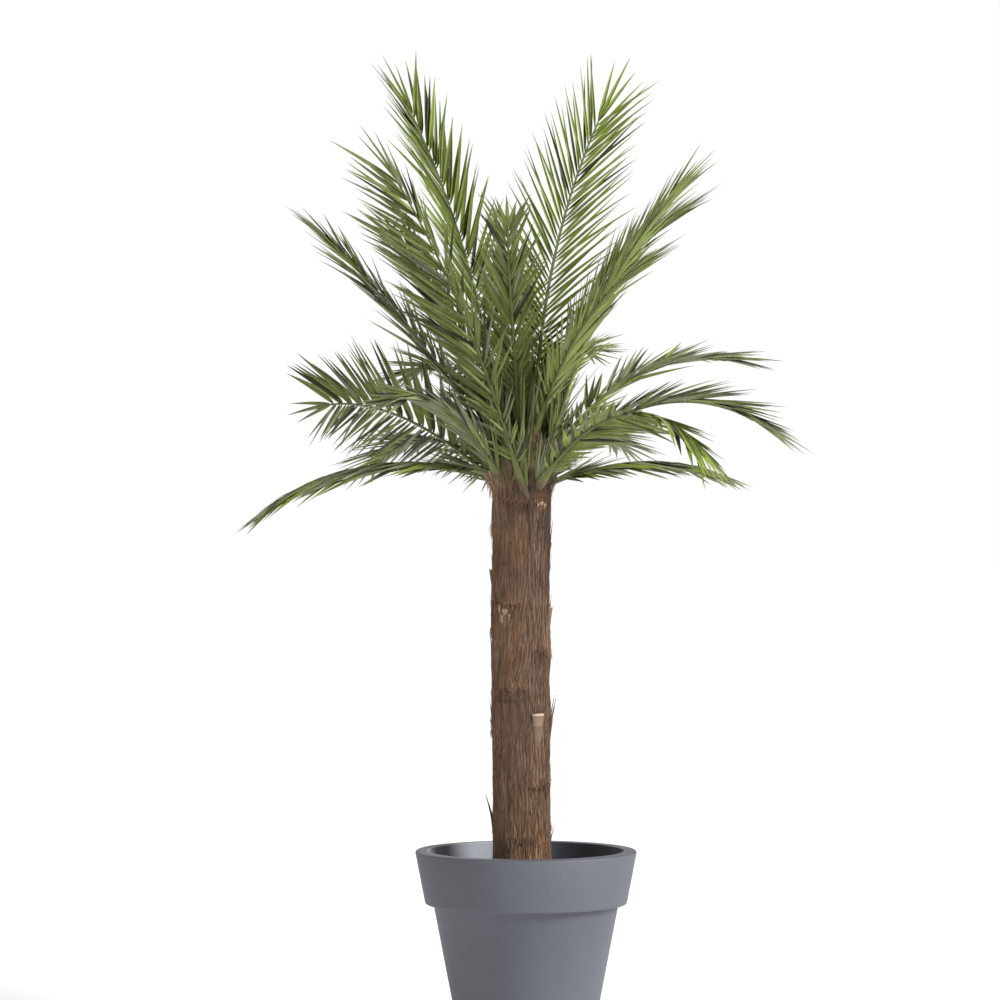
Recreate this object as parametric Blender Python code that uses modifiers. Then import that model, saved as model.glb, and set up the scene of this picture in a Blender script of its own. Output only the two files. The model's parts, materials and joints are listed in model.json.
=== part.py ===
"""A potted date palm, 3.0 m tall: a tapered planter with its fill, a slender trunk with a
swollen crown head, and 22 feather fronds that rise, arch and hang round it.

Metres, +Z up. The origin is the centre of the pot's flat underside.
"""

import functools
import math
import random
from typing import NamedTuple

import bmesh
import bpy
from mathutils import Matrix, Vector
from mathutils.bvhtree import BVHTree

# ---------------------------------------------------------------- driving sizes
CLEARANCE = 0.0003  # between pieces that rest on or are seated in each other

POT_HEIGHT = 0.60
POT_RIM_RADIUS = 0.332
POT_BAND_DEPTH = 0.16
POT_BAND_FOOT_RADIUS = 0.3035
POT_BASE_RADIUS = 0.1945
POT_SLOPE = 0.1895  # growth of the body's radius for each metre of height
POT_WALL = 0.016
POT_EDGE_ROUND = 0.007
POT_STEPS = 48
POT_ARC_STEPS = 2  # straight runs in each rounded edge of the profile

FILL_TOP = POT_HEIGHT - 0.09  # the fill lies below the rim

TRUNK_FOOT = FILL_TOP + CLEARANCE
TRUNK_RADIUS = 0.085
TRUNK_FLARE = 0.003  # extra radius where the trunk enters the fill
TRUNK_FLARE_HEIGHT = 0.09
TRUNK_OFFSET = -0.013  # the trunk stands a little to the left of the pot's axis
TRUNK_STRAIGHT = 0.72  # the height up to which it stands exactly upright
TRUNK_SWAY = 0.004
TRUNK_BEVEL_RESOLUTION = 8  # 20 sides
SHEATH_FADE = 0.07  # height over which a sheath sinks back above its edge
SHEATH_STEP = 0.004  # a row of points lies this far above each sheath edge
SHEATH_DROP = 0.014  # and the row below it lies this far under that one
SHEATH_SIDE = 2.5  # how abruptly a sheath ends at its sides
STUB_TAPER = 0.55  # width of a cut leaf base at its lower end, as a share of its top
STUB_STAND = 0.0125  # how far its cut end stands out of the trunk
STUB_SUNK = 0.006

HEAD_FOOT = 1.68  # where the trunk starts to swell into the crown head
HEAD_BULGE = 1.76
HEAD_BULGE_RADIUS = 0.106
HEAD_TOP = 1.955
HEAD_CROWN_POWER = 1.9  # how late the head rounds in towards its top
HEAD_ROUND_POWER = 0.72  # how blunt its top is
HEAD_STEPS = (0.0, 0.03, 0.055, 0.08, 0.12, 0.155, 0.19, 0.215, 0.235, 0.25, 0.265)  # above its foot
HEAD_AXIS = -0.012  # X of the head's axis

RIB_STATIONS = 11  # sections of the rib's solid
RIB_STEPS = 60  # small steps that its curve is worked out by
RIB_SUNK = 0.028  # length of the rib that starts inside the head, before it is cut clear
FOOT_HALF_WIDTH = 0.017
FOOT_HALF_DEPTH = 0.0075
RIB_HALF_WIDTH = 0.0062
RIB_HALF_DEPTH = 0.0055
RIB_TIP = 0.0028
STALK_SHARE = 0.16  # share of the rib over which its foot narrows
RISE_POWER = 1.3
SWING_POWER = 1.5

LEAVES_A_SIDE = 13
BARE_STALK = 0.18  # share of the rib without leaflets
LEAF_WIDTH = 0.030
LEAF_SUNK = 0.005  # how far the root goes past the rib's middle
LEAF_DEPTH = 0.0034
LEAF_WIDEST = 0.28  # share of its length where a leaflet is widest
FORWARD_AT_FOOT = 46.0  # degrees off the rib
FORWARD_AT_TIP = 21.0
LEAF_JITTER = 11.0  # each leaflet is lifted more or less than its row by up to this
FORWARD_JITTER = 6.0
SHORTEST_LEAF = 0.25  # of the longest, where the stalk ends
TIP_LEAF = 0.86
LAST_LEAF = 0.80  # the one that ends the frond
LONG_FROM = 0.42  # share of the rib where the leaflets reach full length
LONG_TO = 0.55
LEAF_SPAN_END = 0.985
KEEP_CLEAR = 0.0015  # free space round a leaflet
TRIES = 5  # a leaflet that touches something is shortened, and at last skipped
SHORTER = 0.13


SMOOTH_UP_TO = 35.0  # degrees between two faces that are shaded as one

PLANTER_GREY = (0.16, 0.175, 0.20)
FILL_BROWN = (0.06, 0.045, 0.035)
FIBRE_BROWN = (0.12, 0.075, 0.05)
FROND_GREEN = (0.17, 0.22, 0.07)


class Edge(NamedTuple):
    """The ragged end of an old leaf sheath, which steps out of the trunk and sinks back above."""

    heading: float
    height: float
    half_width: float  # degrees
    out: float


EDGES = (
    Edge(-132, 1.345, 52, 0.006),
    Edge(-118, 1.078, 48, 0.005),
    Edge(-22, 1.190, 46, 0.005),
    Edge(-175, 0.955, 40, 0.004),
    Edge(-38, 0.800, 44, 0.004),
    Edge(-95, 0.640, 34, 0.003),
    Edge(-80, 1.640, 60, 0.004),
    Edge(60, 1.440, 60, 0.006),
    Edge(150, 1.250, 50, 0.006),
    Edge(30, 0.990, 52, 0.006),
    Edge(110, 0.840, 56, 0.005),
    Edge(75, 1.170, 40, 0.005),
    Edge(175, 1.560, 50, 0.005),
    Edge(45, 0.660, 46, 0.004),
)


class Swelling(NamedTuple):
    heading: float
    height: float
    half_width: float  # degrees
    half_height: float
    out: float


SWELLINGS = (
    Swelling(-160, 1.722, 24, 0.032, 0.010),  # the frayed bulge under the lowest fronds
    Swelling(-30, 1.250, 22, 0.120, 0.004),
    Swelling(-34, 0.900, 25, 0.060, 0.003),
)


class Stub(NamedTuple):
    """The base of a leaf that was sawn off, pressed to the trunk."""

    heading: float
    top: float
    width: float
    length: float


STUBS = (
    Stub(-54, 1.011, 0.038, 0.10),
    Stub(-6, 1.330, 0.034, 0.08),
    Stub(38, 0.840, 0.038, 0.10),
    Stub(66, 1.285, 0.040, 0.09),
    Stub(104, 1.050, 0.036, 0.09),
    Stub(141, 0.720, 0.038, 0.10),
    Stub(168, 1.440, 0.036, 0.08),
    Stub(20, 1.520, 0.032, 0.07),
)


class Frond(NamedTuple):
    """Angles in degrees. Heading 0 is +X and 90 is +Y."""

    heading: float
    swing: float  # how far the heading has turned at the tip
    rise: float  # slope of the rib at its foot
    dip: float  # slope of the rib at its tip
    length: float
    seat: float  # height of the foot on the head
    foot: float | None = None  # side of the head that it sits on, where that isn't its heading
    roll: float = 0.0  # turn of the blade about its rib
    lift: float = 10.0  # how far both rows of leaflets stand above the blade's plane
    leaf: float = 0.26  # the longest leaflet
    spread: float = 1.0  # how wide its leaflets stand off the rib, against the common angles


FRONDS = {
    "frond_left_high": Frond(146, 0, 79, 60, 1.01, 1.88, roll=-18, lift=15, leaf=0.29, spread=0.9),
    "frond_left_second": Frond(-125, -3, 63, 45, 1.07, 1.68, foot=-88, lift=-26, leaf=0.29),
    "frond_left_inner": Frond(-133, 5, 66, 34, 0.72, 1.83, lift=-8, spread=0.8),
    "frond_left_far": Frond(149, 1, 52, 40, 0.84, 1.82, lift=4, leaf=0.27, spread=0.8),
    "frond_left_arch": Frond(152, -20, 40, -4, 0.71, 1.70, roll=75, leaf=0.28, spread=1.45),
    "frond_left_low": Frond(-165, 4, 12, -32, 0.66, 1.73, lift=-24, leaf=0.22, spread=0.75),
    "frond_right_high": Frond(25, 0, 86, 64, 0.93, 1.90, foot=54, roll=62, leaf=0.30, spread=1.1),
    "frond_right_second": Frond(-25, 0, 75, 46, 0.84, 1.80, foot=-33, roll=2, lift=3, spread=0.8),
    "frond_right_third": Frond(14, 4, 80, 36, 0.75, 1.85, roll=10, lift=3, spread=0.8),
    "frond_right_mid": Frond(-54, 4, 62, 26, 0.66, 1.84, foot=-66, roll=15, lift=3, spread=0.85),
    "frond_right_upper_arch": Frond(40, -6, 46, -6, 0.80, 1.78, leaf=0.24, spread=0.85),
    "frond_right_arch": Frond(-24, 4, 44, -30, 0.69, 1.75, leaf=0.25, spread=0.8),
    "frond_right_low": Frond(12, 4, 20, -16, 0.50, 1.70, lift=-20, leaf=0.20, spread=0.9),
    "frond_front_right": Frond(-58, -1, 39, -34, 0.90, 1.69, foot=-56, roll=-18, lift=-16, spread=0.8),
    "frond_front_left": Frond(-130, 10, 52, -10, 0.54, 1.72, foot=-140, lift=-12, leaf=0.27, spread=0.5),
    "frond_front_centre": Frond(-98, 8, 66, 30, 0.72, 1.88, leaf=0.24, spread=0.7),
    "frond_back_high": Frond(95, 0, 62, 8, 0.85, 1.88),
    "frond_back_right": Frond(76, -6, 52, -8, 0.76, 1.80),
    "frond_back_left": Frond(114, 6, 48, -14, 0.76, 1.79),
    "frond_back_low": Frond(94, 4, 28, -28, 0.80, 1.71, lift=5),
    "frond_back_low_right": Frond(66, -4, 32, -20, 0.66, 1.72, lift=5),
    "frond_back_low_left": Frond(124, 6, 28, -26, 0.70, 1.72, lift=5),
}


# ---------------------------------------------------------------- helpers
def clear_scene():
    for obj in list(bpy.data.objects):
        bpy.data.objects.remove(obj, do_unlink=True)


def make_material(name, colour, roughness):
    material = bpy.data.materials.new(name)
    material.use_nodes = True
    shader = material.node_tree.nodes["Principled BSDF"]
    shader.inputs["Base Color"].default_value = (*colour, 1.0)
    shader.inputs["Roughness"].default_value = roughness
    shader.inputs["Metallic"].default_value = 0.0
    return material


def add_object(name, mesh, collection, material=None):
    obj = bpy.data.objects.new(name, mesh)
    collection.objects.link(obj)
    if material is not None:
        mesh.materials.append(material)
    return obj


def lerp(a, b, t):
    return a + (b - a) * t


def ease(t):
    t = min(max(t, 0.0), 1.0)
    return t * t * (3.0 - 2.0 * t)


def arc(centre, radius, start, end):
    """Points of a profile's rounded corner, as (radius, height) pairs."""
    angles = [math.radians(lerp(start, end, i / POT_ARC_STEPS)) for i in range(POT_ARC_STEPS + 1)]
    return [(centre[0] + radius * math.cos(a), centre[1] + radius * math.sin(a)) for a in angles]


def turned(name, profile, collection, material):
    """A solid turned about Z from a profile that runs up its inside and down its outside."""
    mesh = bpy.data.meshes.new(name)
    points = [(r, 0.0, z) for r, z in profile]
    mesh.from_pydata(points, [(i, i + 1) for i in range(len(points) - 1)], [])
    obj = add_object(name, mesh, collection, material)
    screw = obj.modifiers.new("Screw", "SCREW")
    screw.axis = "Z"
    screw.angle = math.tau
    screw.steps = POT_STEPS
    screw.render_steps = POT_STEPS
    screw.use_smooth_shade = True
    screw.use_merge_vertices = True
    screw.merge_threshold = 0.00001
    return obj


def apply_modifiers(obj):
    graph = bpy.context.evaluated_depsgraph_get()
    mesh = bpy.data.meshes.new_from_object(obj.evaluated_get(graph))
    obj.modifiers.clear()
    obj.data = mesh


def mesh_of_faces(name, points, faces):
    mesh = bpy.data.meshes.new(name)
    mesh.from_pydata(points, [], faces)
    shape = bmesh.new()
    shape.from_mesh(mesh)
    bmesh.ops.recalc_face_normals(shape, faces=shape.faces)
    bmesh.ops.triangulate(shape, faces=shape.faces)
    shape.to_mesh(mesh)
    shape.free()
    return mesh


def lofted_mesh(name, rings):
    """A closed skin over rings of equal count, with a cap on the first and on the last."""
    sides = len(rings[0])
    rows = range(len(rings) - 1)
    faces = [
        (r * sides + i, r * sides + (i + 1) % sides, (r + 1) * sides + (i + 1) % sides, (r + 1) * sides + i)
        for r in rows
        for i in range(sides)
    ]
    last = (len(rings) - 1) * sides
    faces += [tuple(range(sides)), tuple(range(last, last + sides))]
    return mesh_of_faces(name, [point for ring in rings for point in ring], faces)


def fuse(obj, meshes, cutter=None):
    """Fuses meshes to an object with one Boolean union, then cuts the whole clear of a cutter."""
    group = bpy.data.collections.new(f"{obj.name}_pieces")
    bpy.context.scene.collection.children.link(group)
    for mesh in meshes:
        add_object(mesh.name, mesh, group)
    union = obj.modifiers.new("Union", "BOOLEAN")
    union.operation = "UNION"
    union.operand_type = "COLLECTION"
    union.collection = group
    union.solver = "MANIFOLD"  # EXACT leaves an open edge where leaflets cross near a tip
    if cutter is not None:
        cut = obj.modifiers.new("Clear", "BOOLEAN")
        cut.operation = "DIFFERENCE"
        cut.object = cutter
        cut.solver = "MANIFOLD"
    apply_modifiers(obj)
    for piece in list(group.objects):
        bpy.data.objects.remove(piece, do_unlink=True)
    bpy.data.collections.remove(group)


def pointed_mesh(name, root, ring, tip):
    """A closed spindle: a ring of points between a root and a tip."""
    sides = len(ring)
    edges = [(1 + i, 1 + (i + 1) % sides) for i in range(sides)]
    faces = [(0, a, b) for a, b in edges] + [(1 + sides, b, a) for a, b in edges]
    return mesh_of_faces(name, [root, *ring, tip], faces)


# ---------------------------------------------------------------- pot and fill
def pot_body_radius(height):
    return POT_BASE_RADIUS + POT_SLOPE * height


def make_pot(collection):
    """A tapered planter with a deep stepped band under its rim and a wide flat lip."""
    r = POT_EDGE_ROUND
    band_foot = POT_HEIGHT - POT_BAND_DEPTH
    profile = [(0.0, POT_WALL), (pot_body_radius(POT_WALL) - POT_WALL, POT_WALL)]
    profile.append((pot_body_radius(POT_HEIGHT) - POT_WALL, POT_HEIGHT))
    profile += arc((POT_RIM_RADIUS - r, POT_HEIGHT - r), r, 90, 0)
    profile += arc((POT_BAND_FOOT_RADIUS - r, band_foot + r), r, 0, -90)
    profile.append((pot_body_radius(band_foot), band_foot))
    profile += arc((POT_BASE_RADIUS - r, r), r, 0, -90)
    profile.append((0.0, 0.0))
    return turned("pot", profile, collection, make_material("planter_grey", PLANTER_GREY, 0.6))


def make_fill(collection):
    """The fill that the trunk stands on, 0.3 mm clear of the pot's wall and floor."""
    floor = POT_WALL + CLEARANCE
    profile = [(0.0, FILL_TOP)]
    profile.append((pot_body_radius(FILL_TOP) - POT_WALL - CLEARANCE, FILL_TOP))
    profile.append((pot_body_radius(floor) - POT_WALL - CLEARANCE, floor))
    profile.append((0.0, floor))
    return turned("fill", profile, collection, make_material("potting_fill", FILL_BROWN, 0.95))


# ---------------------------------------------------------------- trunk
def head_radius(height):
    """Radius of the trunk and head: level below, a bulge, then a rounded cone to the top."""
    if height <= HEAD_BULGE:
        return lerp(TRUNK_RADIUS, HEAD_BULGE_RADIUS, ease((height - HEAD_FOOT) / (HEAD_BULGE - HEAD_FOOT)))
    up = min((height - HEAD_BULGE) / (HEAD_TOP - HEAD_BULGE), 1.0)
    return HEAD_BULGE_RADIUS * (1.0 - up**HEAD_CROWN_POWER) ** HEAD_ROUND_POWER


def trunk_radius(height):
    return head_radius(height) + TRUNK_FLARE * (1.0 - ease((height - TRUNK_FOOT) / TRUNK_FLARE_HEIGHT))


def trunk_axis(height):
    """The trunk stands straight up from the fill, sways a little and ends under the head."""
    up = min(max((height - TRUNK_STRAIGHT) / (HEAD_FOOT - TRUNK_STRAIGHT), 0.0), 1.0)
    lean = lerp(TRUNK_OFFSET, HEAD_AXIS, ease(up))
    return Vector((lean - TRUNK_SWAY * math.sin(math.pi * up), 0.0, height))


def turn_between(a, b):
    """The angle from b to a in degrees, between -180 and 180."""
    return (a - b + 180.0) % 360.0 - 180.0


def relief(heading, height):
    """How far the overlapping sheaths and the swellings stand out of the trunk at a point."""
    out = 0.0
    for edge in EDGES:
        side = 1.0 - abs(turn_between(heading, edge.heading)) / edge.half_width
        above = height - edge.height
        if side > 0.0 and above > 0.0:
            out += min(SHEATH_SIDE * side, 1.0) * edge.out * math.exp(-above / SHEATH_FADE)
    for swelling in SWELLINGS:
        across = turn_between(heading, swelling.heading) / swelling.half_width
        along = (height - swelling.height) / swelling.half_height
        out += swelling.out * math.exp(-across * across - along * along)
    return out


def trunk_tube(heights):
    """A round tube of the trunk's girth, with a ring of points at each height."""
    curve = bpy.data.curves.new("trunk", "CURVE")
    curve.dimensions = "3D"
    curve.bevel_depth = 1.0
    curve.bevel_resolution = TRUNK_BEVEL_RESOLUTION
    curve.use_fill_caps = True
    spline = curve.splines.new("POLY")
    spline.points.add(len(heights) - 1)
    for point, height in zip(spline.points, heights):
        point.co = (*trunk_axis(height), 1.0)
        point.radius = trunk_radius(height)
    guide = bpy.data.objects.new("trunk_guide", curve)
    bpy.context.scene.collection.objects.link(guide)
    graph = bpy.context.evaluated_depsgraph_get()
    mesh = bpy.data.meshes.new_from_object(guide.evaluated_get(graph))
    bpy.data.objects.remove(guide, do_unlink=True)
    mesh.name = "trunk"
    return mesh


def push_out(point):
    """Moves a point of the tube out from its axis by the relief there."""
    axis = trunk_axis(point.z)
    arm = Vector((point.x - axis.x, point.y - axis.y, 0.0))
    if arm.length > 0.0:
        heading = math.degrees(math.atan2(arm.y, arm.x))
        point += arm.normalized() * relief(heading, point.z)


def stub_mesh(stub):
    """A wedge that stands out at its cut top and sinks into the trunk below."""
    turn = math.radians(stub.heading)
    out = Vector((math.cos(turn), math.sin(turn), 0.0))
    across = Vector((-math.sin(turn), math.cos(turn), 0.0))
    rings = []
    for height, share, stand in ((stub.top, 1.0, STUB_STAND), (stub.top - stub.length, STUB_TAPER, 0.001)):
        half = across * (stub.width / 2 * share)
        inner = trunk_axis(height) + out * (trunk_radius(height) - STUB_SUNK)
        outer = trunk_axis(height) + out * (trunk_radius(height) + stand)
        rings.append([inner - half, inner + half, outer + half, outer - half])
    return lofted_mesh("stub", rings)


def make_trunk(collection):
    """One tapering limb, from a flat cut on the fill to the closed top of the crown head."""
    tops = [edge.height + SHEATH_STEP for edge in EDGES]
    heights = [TRUNK_FOOT, TRUNK_FOOT + TRUNK_FLARE_HEIGHT, *tops]
    heights += [top - SHEATH_DROP for top in tops]
    heights += [HEAD_FOOT + step for step in HEAD_STEPS]
    mesh = trunk_tube(sorted(heights))
    shape = bmesh.new()
    shape.from_mesh(mesh)
    bmesh.ops.remove_doubles(shape, verts=shape.verts, dist=0.00001)
    for vert in shape.verts:
        push_out(vert.co)
    bmesh.ops.recalc_face_normals(shape, faces=shape.faces)
    shape.to_mesh(mesh)
    shape.free()
    trunk = add_object("trunk", mesh, collection, make_material("palm_fibre", FIBRE_BROWN, 0.9))
    fuse(trunk, [stub_mesh(stub) for stub in STUBS])
    trunk.data.shade_smooth()
    trunk.data.set_sharp_from_angle(angle=math.radians(SMOOTH_UP_TO))
    return trunk


def make_trunk_cutter(trunk, collection):
    """The trunk grown by the clearance, which cuts each frond's foot to its seat."""
    cutter = add_object("trunk_clearance", trunk.data.copy(), collection)
    cutter.hide_render = True
    cutter.display_type = "WIRE"
    grow = cutter.modifiers.new("Displace", "DISPLACE")
    grow.strength = CLEARANCE
    grow.mid_level = 0.0
    grow.direction = "NORMAL"
    return cutter


# ---------------------------------------------------------------- fronds
class Station(NamedTuple):
    point: Vector
    along: Vector
    up: Vector
    side: Vector


def rib_direction(frond, share):
    slope = math.radians(lerp(frond.rise, frond.dip, share**RISE_POWER))
    heading = math.radians(frond.heading + frond.swing * share**SWING_POWER)
    out = Vector((math.cos(heading), math.sin(heading), 0.0))
    along = out * math.cos(slope) + Vector((0, 0, math.sin(slope)))
    up = Vector((0, 0, math.cos(slope))) - out * math.sin(slope)
    return along, Matrix.Rotation(math.radians(frond.roll), 3, along) @ up


@functools.cache
def rib_path(frond):
    """Points of the rib from its seat to its tip, by small steps along its slope."""
    foot = math.radians(frond.heading if frond.foot is None else frond.foot)
    radius = head_radius(frond.seat)
    point = Vector((HEAD_AXIS + radius * math.cos(foot), radius * math.sin(foot), frond.seat))
    path = [point]
    for i in range(RIB_STEPS):
        along, _ = rib_direction(frond, (i + 0.5) / RIB_STEPS)
        point = point + along * (frond.length / RIB_STEPS)
        path.append(point)
    return path


def rib_station(frond, share):
    path = rib_path(frond)
    low = min(int(share * RIB_STEPS), RIB_STEPS - 1)
    along, up = rib_direction(frond, share)
    return Station(path[low].lerp(path[low + 1], share * RIB_STEPS - low), along, up, along.cross(up))


def rib_size(share):
    """Half width and half depth of the rib: a broad foot, a stalk, and a fine tip."""
    foot = 1.0 - ease(share / STALK_SHARE)
    width = lerp(lerp(RIB_HALF_WIDTH, RIB_TIP, share), FOOT_HALF_WIDTH, foot)
    depth = lerp(lerp(RIB_HALF_DEPTH, RIB_TIP, share), FOOT_HALF_DEPTH, foot)
    return width, depth


def rib_mesh(name, frond):
    """A four-sided rib that starts inside the head, broad at its foot and fine at its tip."""
    shares = [i / (RIB_STATIONS - 1) for i in range(RIB_STATIONS)]
    first = rib_station(frond, 0.0)
    stations = [first._replace(point=first.point - first.along * RIB_SUNK)]
    stations += [rib_station(frond, share) for share in shares]
    rings = []
    for station, share in zip(stations, [0.0, *shares]):
        width, depth = rib_size(share)
        across, down = station.side * width, station.up * depth
        middle = station.point
        rings.append([middle + across, middle + down, middle - across, middle - down])
    return lofted_mesh(name, rings)


def leaf_length(frond, share):
    grown = lerp(SHORTEST_LEAF, 1.0, ease(share / LONG_FROM))
    return frond.leaf * grown * lerp(1.0, TIP_LEAF, ease((share - LONG_TO) / (1.0 - LONG_TO)))


def leaf_direction(frond, station, share, hand, dice):
    """Which way a leaflet points: forward and outward, above or below the blade's plane."""
    forward = frond.spread * lerp(FORWARD_AT_FOOT, FORWARD_AT_TIP, share)
    forward = math.radians(forward + dice.uniform(-FORWARD_JITTER, FORWARD_JITTER))
    lift = math.radians(frond.lift + dice.uniform(-LEAF_JITTER, LEAF_JITTER))
    out = station.side * (hand * math.cos(lift)) + station.up * math.sin(lift)
    return station.along * math.cos(forward) + out * math.sin(forward)


def leaf_mesh(name, station, direction, length, grow):
    """A folded leaflet of six faces: sunk through the rib, widest near its foot, keeled below."""
    across = (station.along - direction * station.along.dot(direction)).normalized()
    if across.length < 0.5:
        across = station.side
    keel = direction.cross(across).normalized()
    if keel.dot(station.up) > 0:
        keel = -keel
    middle = station.point + direction * (LEAF_WIDEST * length)
    half = across * (LEAF_WIDTH / 2 + grow)
    ring = [middle + half - keel * grow, middle - half - keel * grow, middle + keel * (LEAF_DEPTH + grow)]
    root = station.point - direction * (LEAF_SUNK + grow)
    tip = station.point + direction * (length + grow)
    return pointed_mesh(name, root, ring, tip)


def frond_leaves(name, frond, taken):
    """The frond's leaflets as meshes. One that would touch another piece is shortened or skipped."""
    dice = random.Random(name)
    leaves = []
    for i in range(LEAVES_A_SIDE):
        for hand in (-1, 1):
            place = (i + 0.25 + 0.25 * hand) / LEAVES_A_SIDE  # the rows are half a step apart
            share = lerp(BARE_STALK, LEAF_SPAN_END, place)
            station = rib_station(frond, share)
            for attempt in range(TRIES):
                direction = leaf_direction(frond, station, share, hand, dice)
                length = leaf_length(frond, share) * (1.0 - SHORTER * attempt)
                trial = bvh_of(leaf_mesh("trial", station, direction, length, KEEP_CLEAR))
                if not any(trial.overlap(other) for other in taken):
                    leaves.append(leaf_mesh(f"{name}_leaf", station, direction, length, 0.0))
                    break
    last = rib_station(frond, 1.0)
    leaves.append(leaf_mesh(f"{name}_leaf", last, last.along, frond.leaf * LAST_LEAF, 0.0))
    return leaves


def bvh_of(mesh):
    shape = bmesh.new()
    shape.from_mesh(mesh)
    tree = BVHTree.FromBMesh(shape)
    shape.free()
    return tree


def make_fronds(cutter, collection):
    """Every rib is placed first, so that no leaflet crosses one. Then each frond gets its leaflets."""
    green = make_material("frond_green", FROND_GREEN, 0.55)
    ribs = {name: rib_mesh(name, frond) for name, frond in FRONDS.items()}
    trees = {name: bvh_of(rib) for name, rib in ribs.items()}
    for name, frond in FRONDS.items():
        taken = [tree for other, tree in trees.items() if other != name]
        leaves = frond_leaves(name, frond, taken)
        obj = add_object(name, ribs[name], collection, green)
        fuse(obj, leaves, cutter)  # the foot of the rib is cut to its seat on the head
        trees[name] = bvh_of(obj.data)


def main():
    clear_scene()
    palm = bpy.data.collections.new("potted_date_palm")
    cutters = bpy.data.collections.new("cutters")
    for collection in (palm, cutters):
        bpy.context.scene.collection.children.link(collection)
    make_pot(palm)
    make_fill(palm)
    trunk = make_trunk(palm)
    make_fronds(make_trunk_cutter(trunk, cutters), palm)


main()
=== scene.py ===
# %% [markdown]
# # A potted date palm
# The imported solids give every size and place, and they stay underneath for collision.
# Each cell below says what a piece is on the real plant, how it could be made, and why
# one way was chosen, and then makes it. Pieces are in metres, with +Z up.

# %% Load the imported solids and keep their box
import json
import math
import random
from typing import NamedTuple

import bmesh
import bpy
import numpy as np
from mathutils import Matrix, Vector, noise

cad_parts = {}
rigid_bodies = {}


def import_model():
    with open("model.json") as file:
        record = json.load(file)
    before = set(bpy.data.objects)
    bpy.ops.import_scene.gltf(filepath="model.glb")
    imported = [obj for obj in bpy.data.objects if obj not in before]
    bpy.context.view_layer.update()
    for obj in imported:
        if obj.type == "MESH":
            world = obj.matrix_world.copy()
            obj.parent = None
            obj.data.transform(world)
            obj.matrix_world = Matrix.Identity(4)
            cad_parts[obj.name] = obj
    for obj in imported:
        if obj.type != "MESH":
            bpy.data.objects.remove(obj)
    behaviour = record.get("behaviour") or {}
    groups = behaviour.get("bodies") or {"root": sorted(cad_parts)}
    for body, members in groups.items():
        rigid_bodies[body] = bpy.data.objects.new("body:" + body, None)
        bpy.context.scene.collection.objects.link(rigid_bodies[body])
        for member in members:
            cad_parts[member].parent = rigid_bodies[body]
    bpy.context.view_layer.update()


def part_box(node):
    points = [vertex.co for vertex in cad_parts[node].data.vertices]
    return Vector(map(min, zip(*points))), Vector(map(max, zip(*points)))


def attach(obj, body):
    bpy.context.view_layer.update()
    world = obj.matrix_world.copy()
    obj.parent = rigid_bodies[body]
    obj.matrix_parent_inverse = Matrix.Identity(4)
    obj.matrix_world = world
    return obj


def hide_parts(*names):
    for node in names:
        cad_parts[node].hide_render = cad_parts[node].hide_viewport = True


for leftover in list(bpy.data.objects):
    bpy.data.objects.remove(leftover, do_unlink=True)
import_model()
pot_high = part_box("pot")[1]
trunk_low, trunk_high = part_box("trunk")
fill_low, fill_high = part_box("fill")


# %% [markdown]
# ## Small helpers
# Most pieces here are worked out as lists of points and faces, because leaves, fibres and
# bark follow formulas. The helpers turn such lists into a mesh, join rings of points into a
# tube, turn a modifier's result into a plain mesh, and hide the solids that a piece stands for.


# %% Helpers for shapes
def lerp(a, b, t):
    return a + (b - a) * t


def ease(t):
    """0 below 0, 1 above 1, and a smooth rise between."""
    t = np.clip(t, 0.0, 1.0)
    return t * t * (3.0 - 2.0 * t)


def rising(value, start, length):
    return float(ease((value - start) / length))


def falling(value, end, length):
    return float(ease((end - value) / length))


def bell(value, middle, width):
    return math.exp(-(((value - middle) / width) ** 2))


def in_scene(name, data):
    """A new object of the scene, made of a mesh, a lamp or a camera."""
    obj = bpy.data.objects.new(name, data)
    bpy.context.scene.collection.objects.link(obj)
    return obj


def mesh_piece(name, points, faces, materials, shades=None, crease=None):
    """A smooth-shaded mesh. shades picks each face's material, crease is the sharpest smooth angle."""
    mesh = bpy.data.meshes.new(name)
    mesh.from_pydata([tuple(p) for p in points], [], [tuple(f) for f in faces])
    for material in materials:
        mesh.materials.append(material)
    if shades is not None:
        mesh.polygons.foreach_set("material_index", list(shades))
    mesh.shade_smooth()
    if crease is not None:
        mesh.set_sharp_from_angle(angle=math.radians(crease))
    return in_scene(name, mesh)


def point_outwards(obj):
    """Recalculates the normals of a closed mesh, so that every face looks out."""
    shape = bmesh.new()
    shape.from_mesh(obj.data)
    bmesh.ops.recalc_face_normals(shape, faces=shape.faces)
    shape.to_mesh(obj.data)
    shape.free()


def closed_piece(*what, **how):
    """A mesh_piece that is closed, with its faces looking out."""
    obj = mesh_piece(*what, **how)
    point_outwards(obj)
    return obj


def tube_sides(first, rings, sides):
    """The faces between rings of points, which start at the point numbered first."""
    for ring in range(rings - 1):
        for side in range(sides):
            a, b = first + ring * sides + side, first + ring * sides + (side + 1) % sides
            yield a, b, b + sides, a + sides


def tube_faces(first, rings, sides):
    """The same, with the first and the last ring closed."""
    last = first + (rings - 1) * sides
    ends = [tuple(range(first, first + sides))[::-1], tuple(range(last, last + sides))]
    return [*tube_sides(first, rings, sides), *ends]


def plain_mesh(obj):
    """Replaces an object's mesh with what its modifiers make of it, and removes them."""
    graph = bpy.context.evaluated_depsgraph_get()
    mesh = bpy.data.meshes.new_from_object(obj.evaluated_get(graph))
    obj.modifiers.clear()
    obj.data = mesh


def dress(obj, slot, *nodes):
    """Ties a finished piece to the one body, hides the solids that it stands for, and prints its triangles.
    """
    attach(obj, "root")
    if nodes:
        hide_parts(*nodes)
    triangles = sum(len(face.vertices) - 2 for face in obj.data.polygons)
    print(f"{obj.name}: {triangles} triangles")


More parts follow.
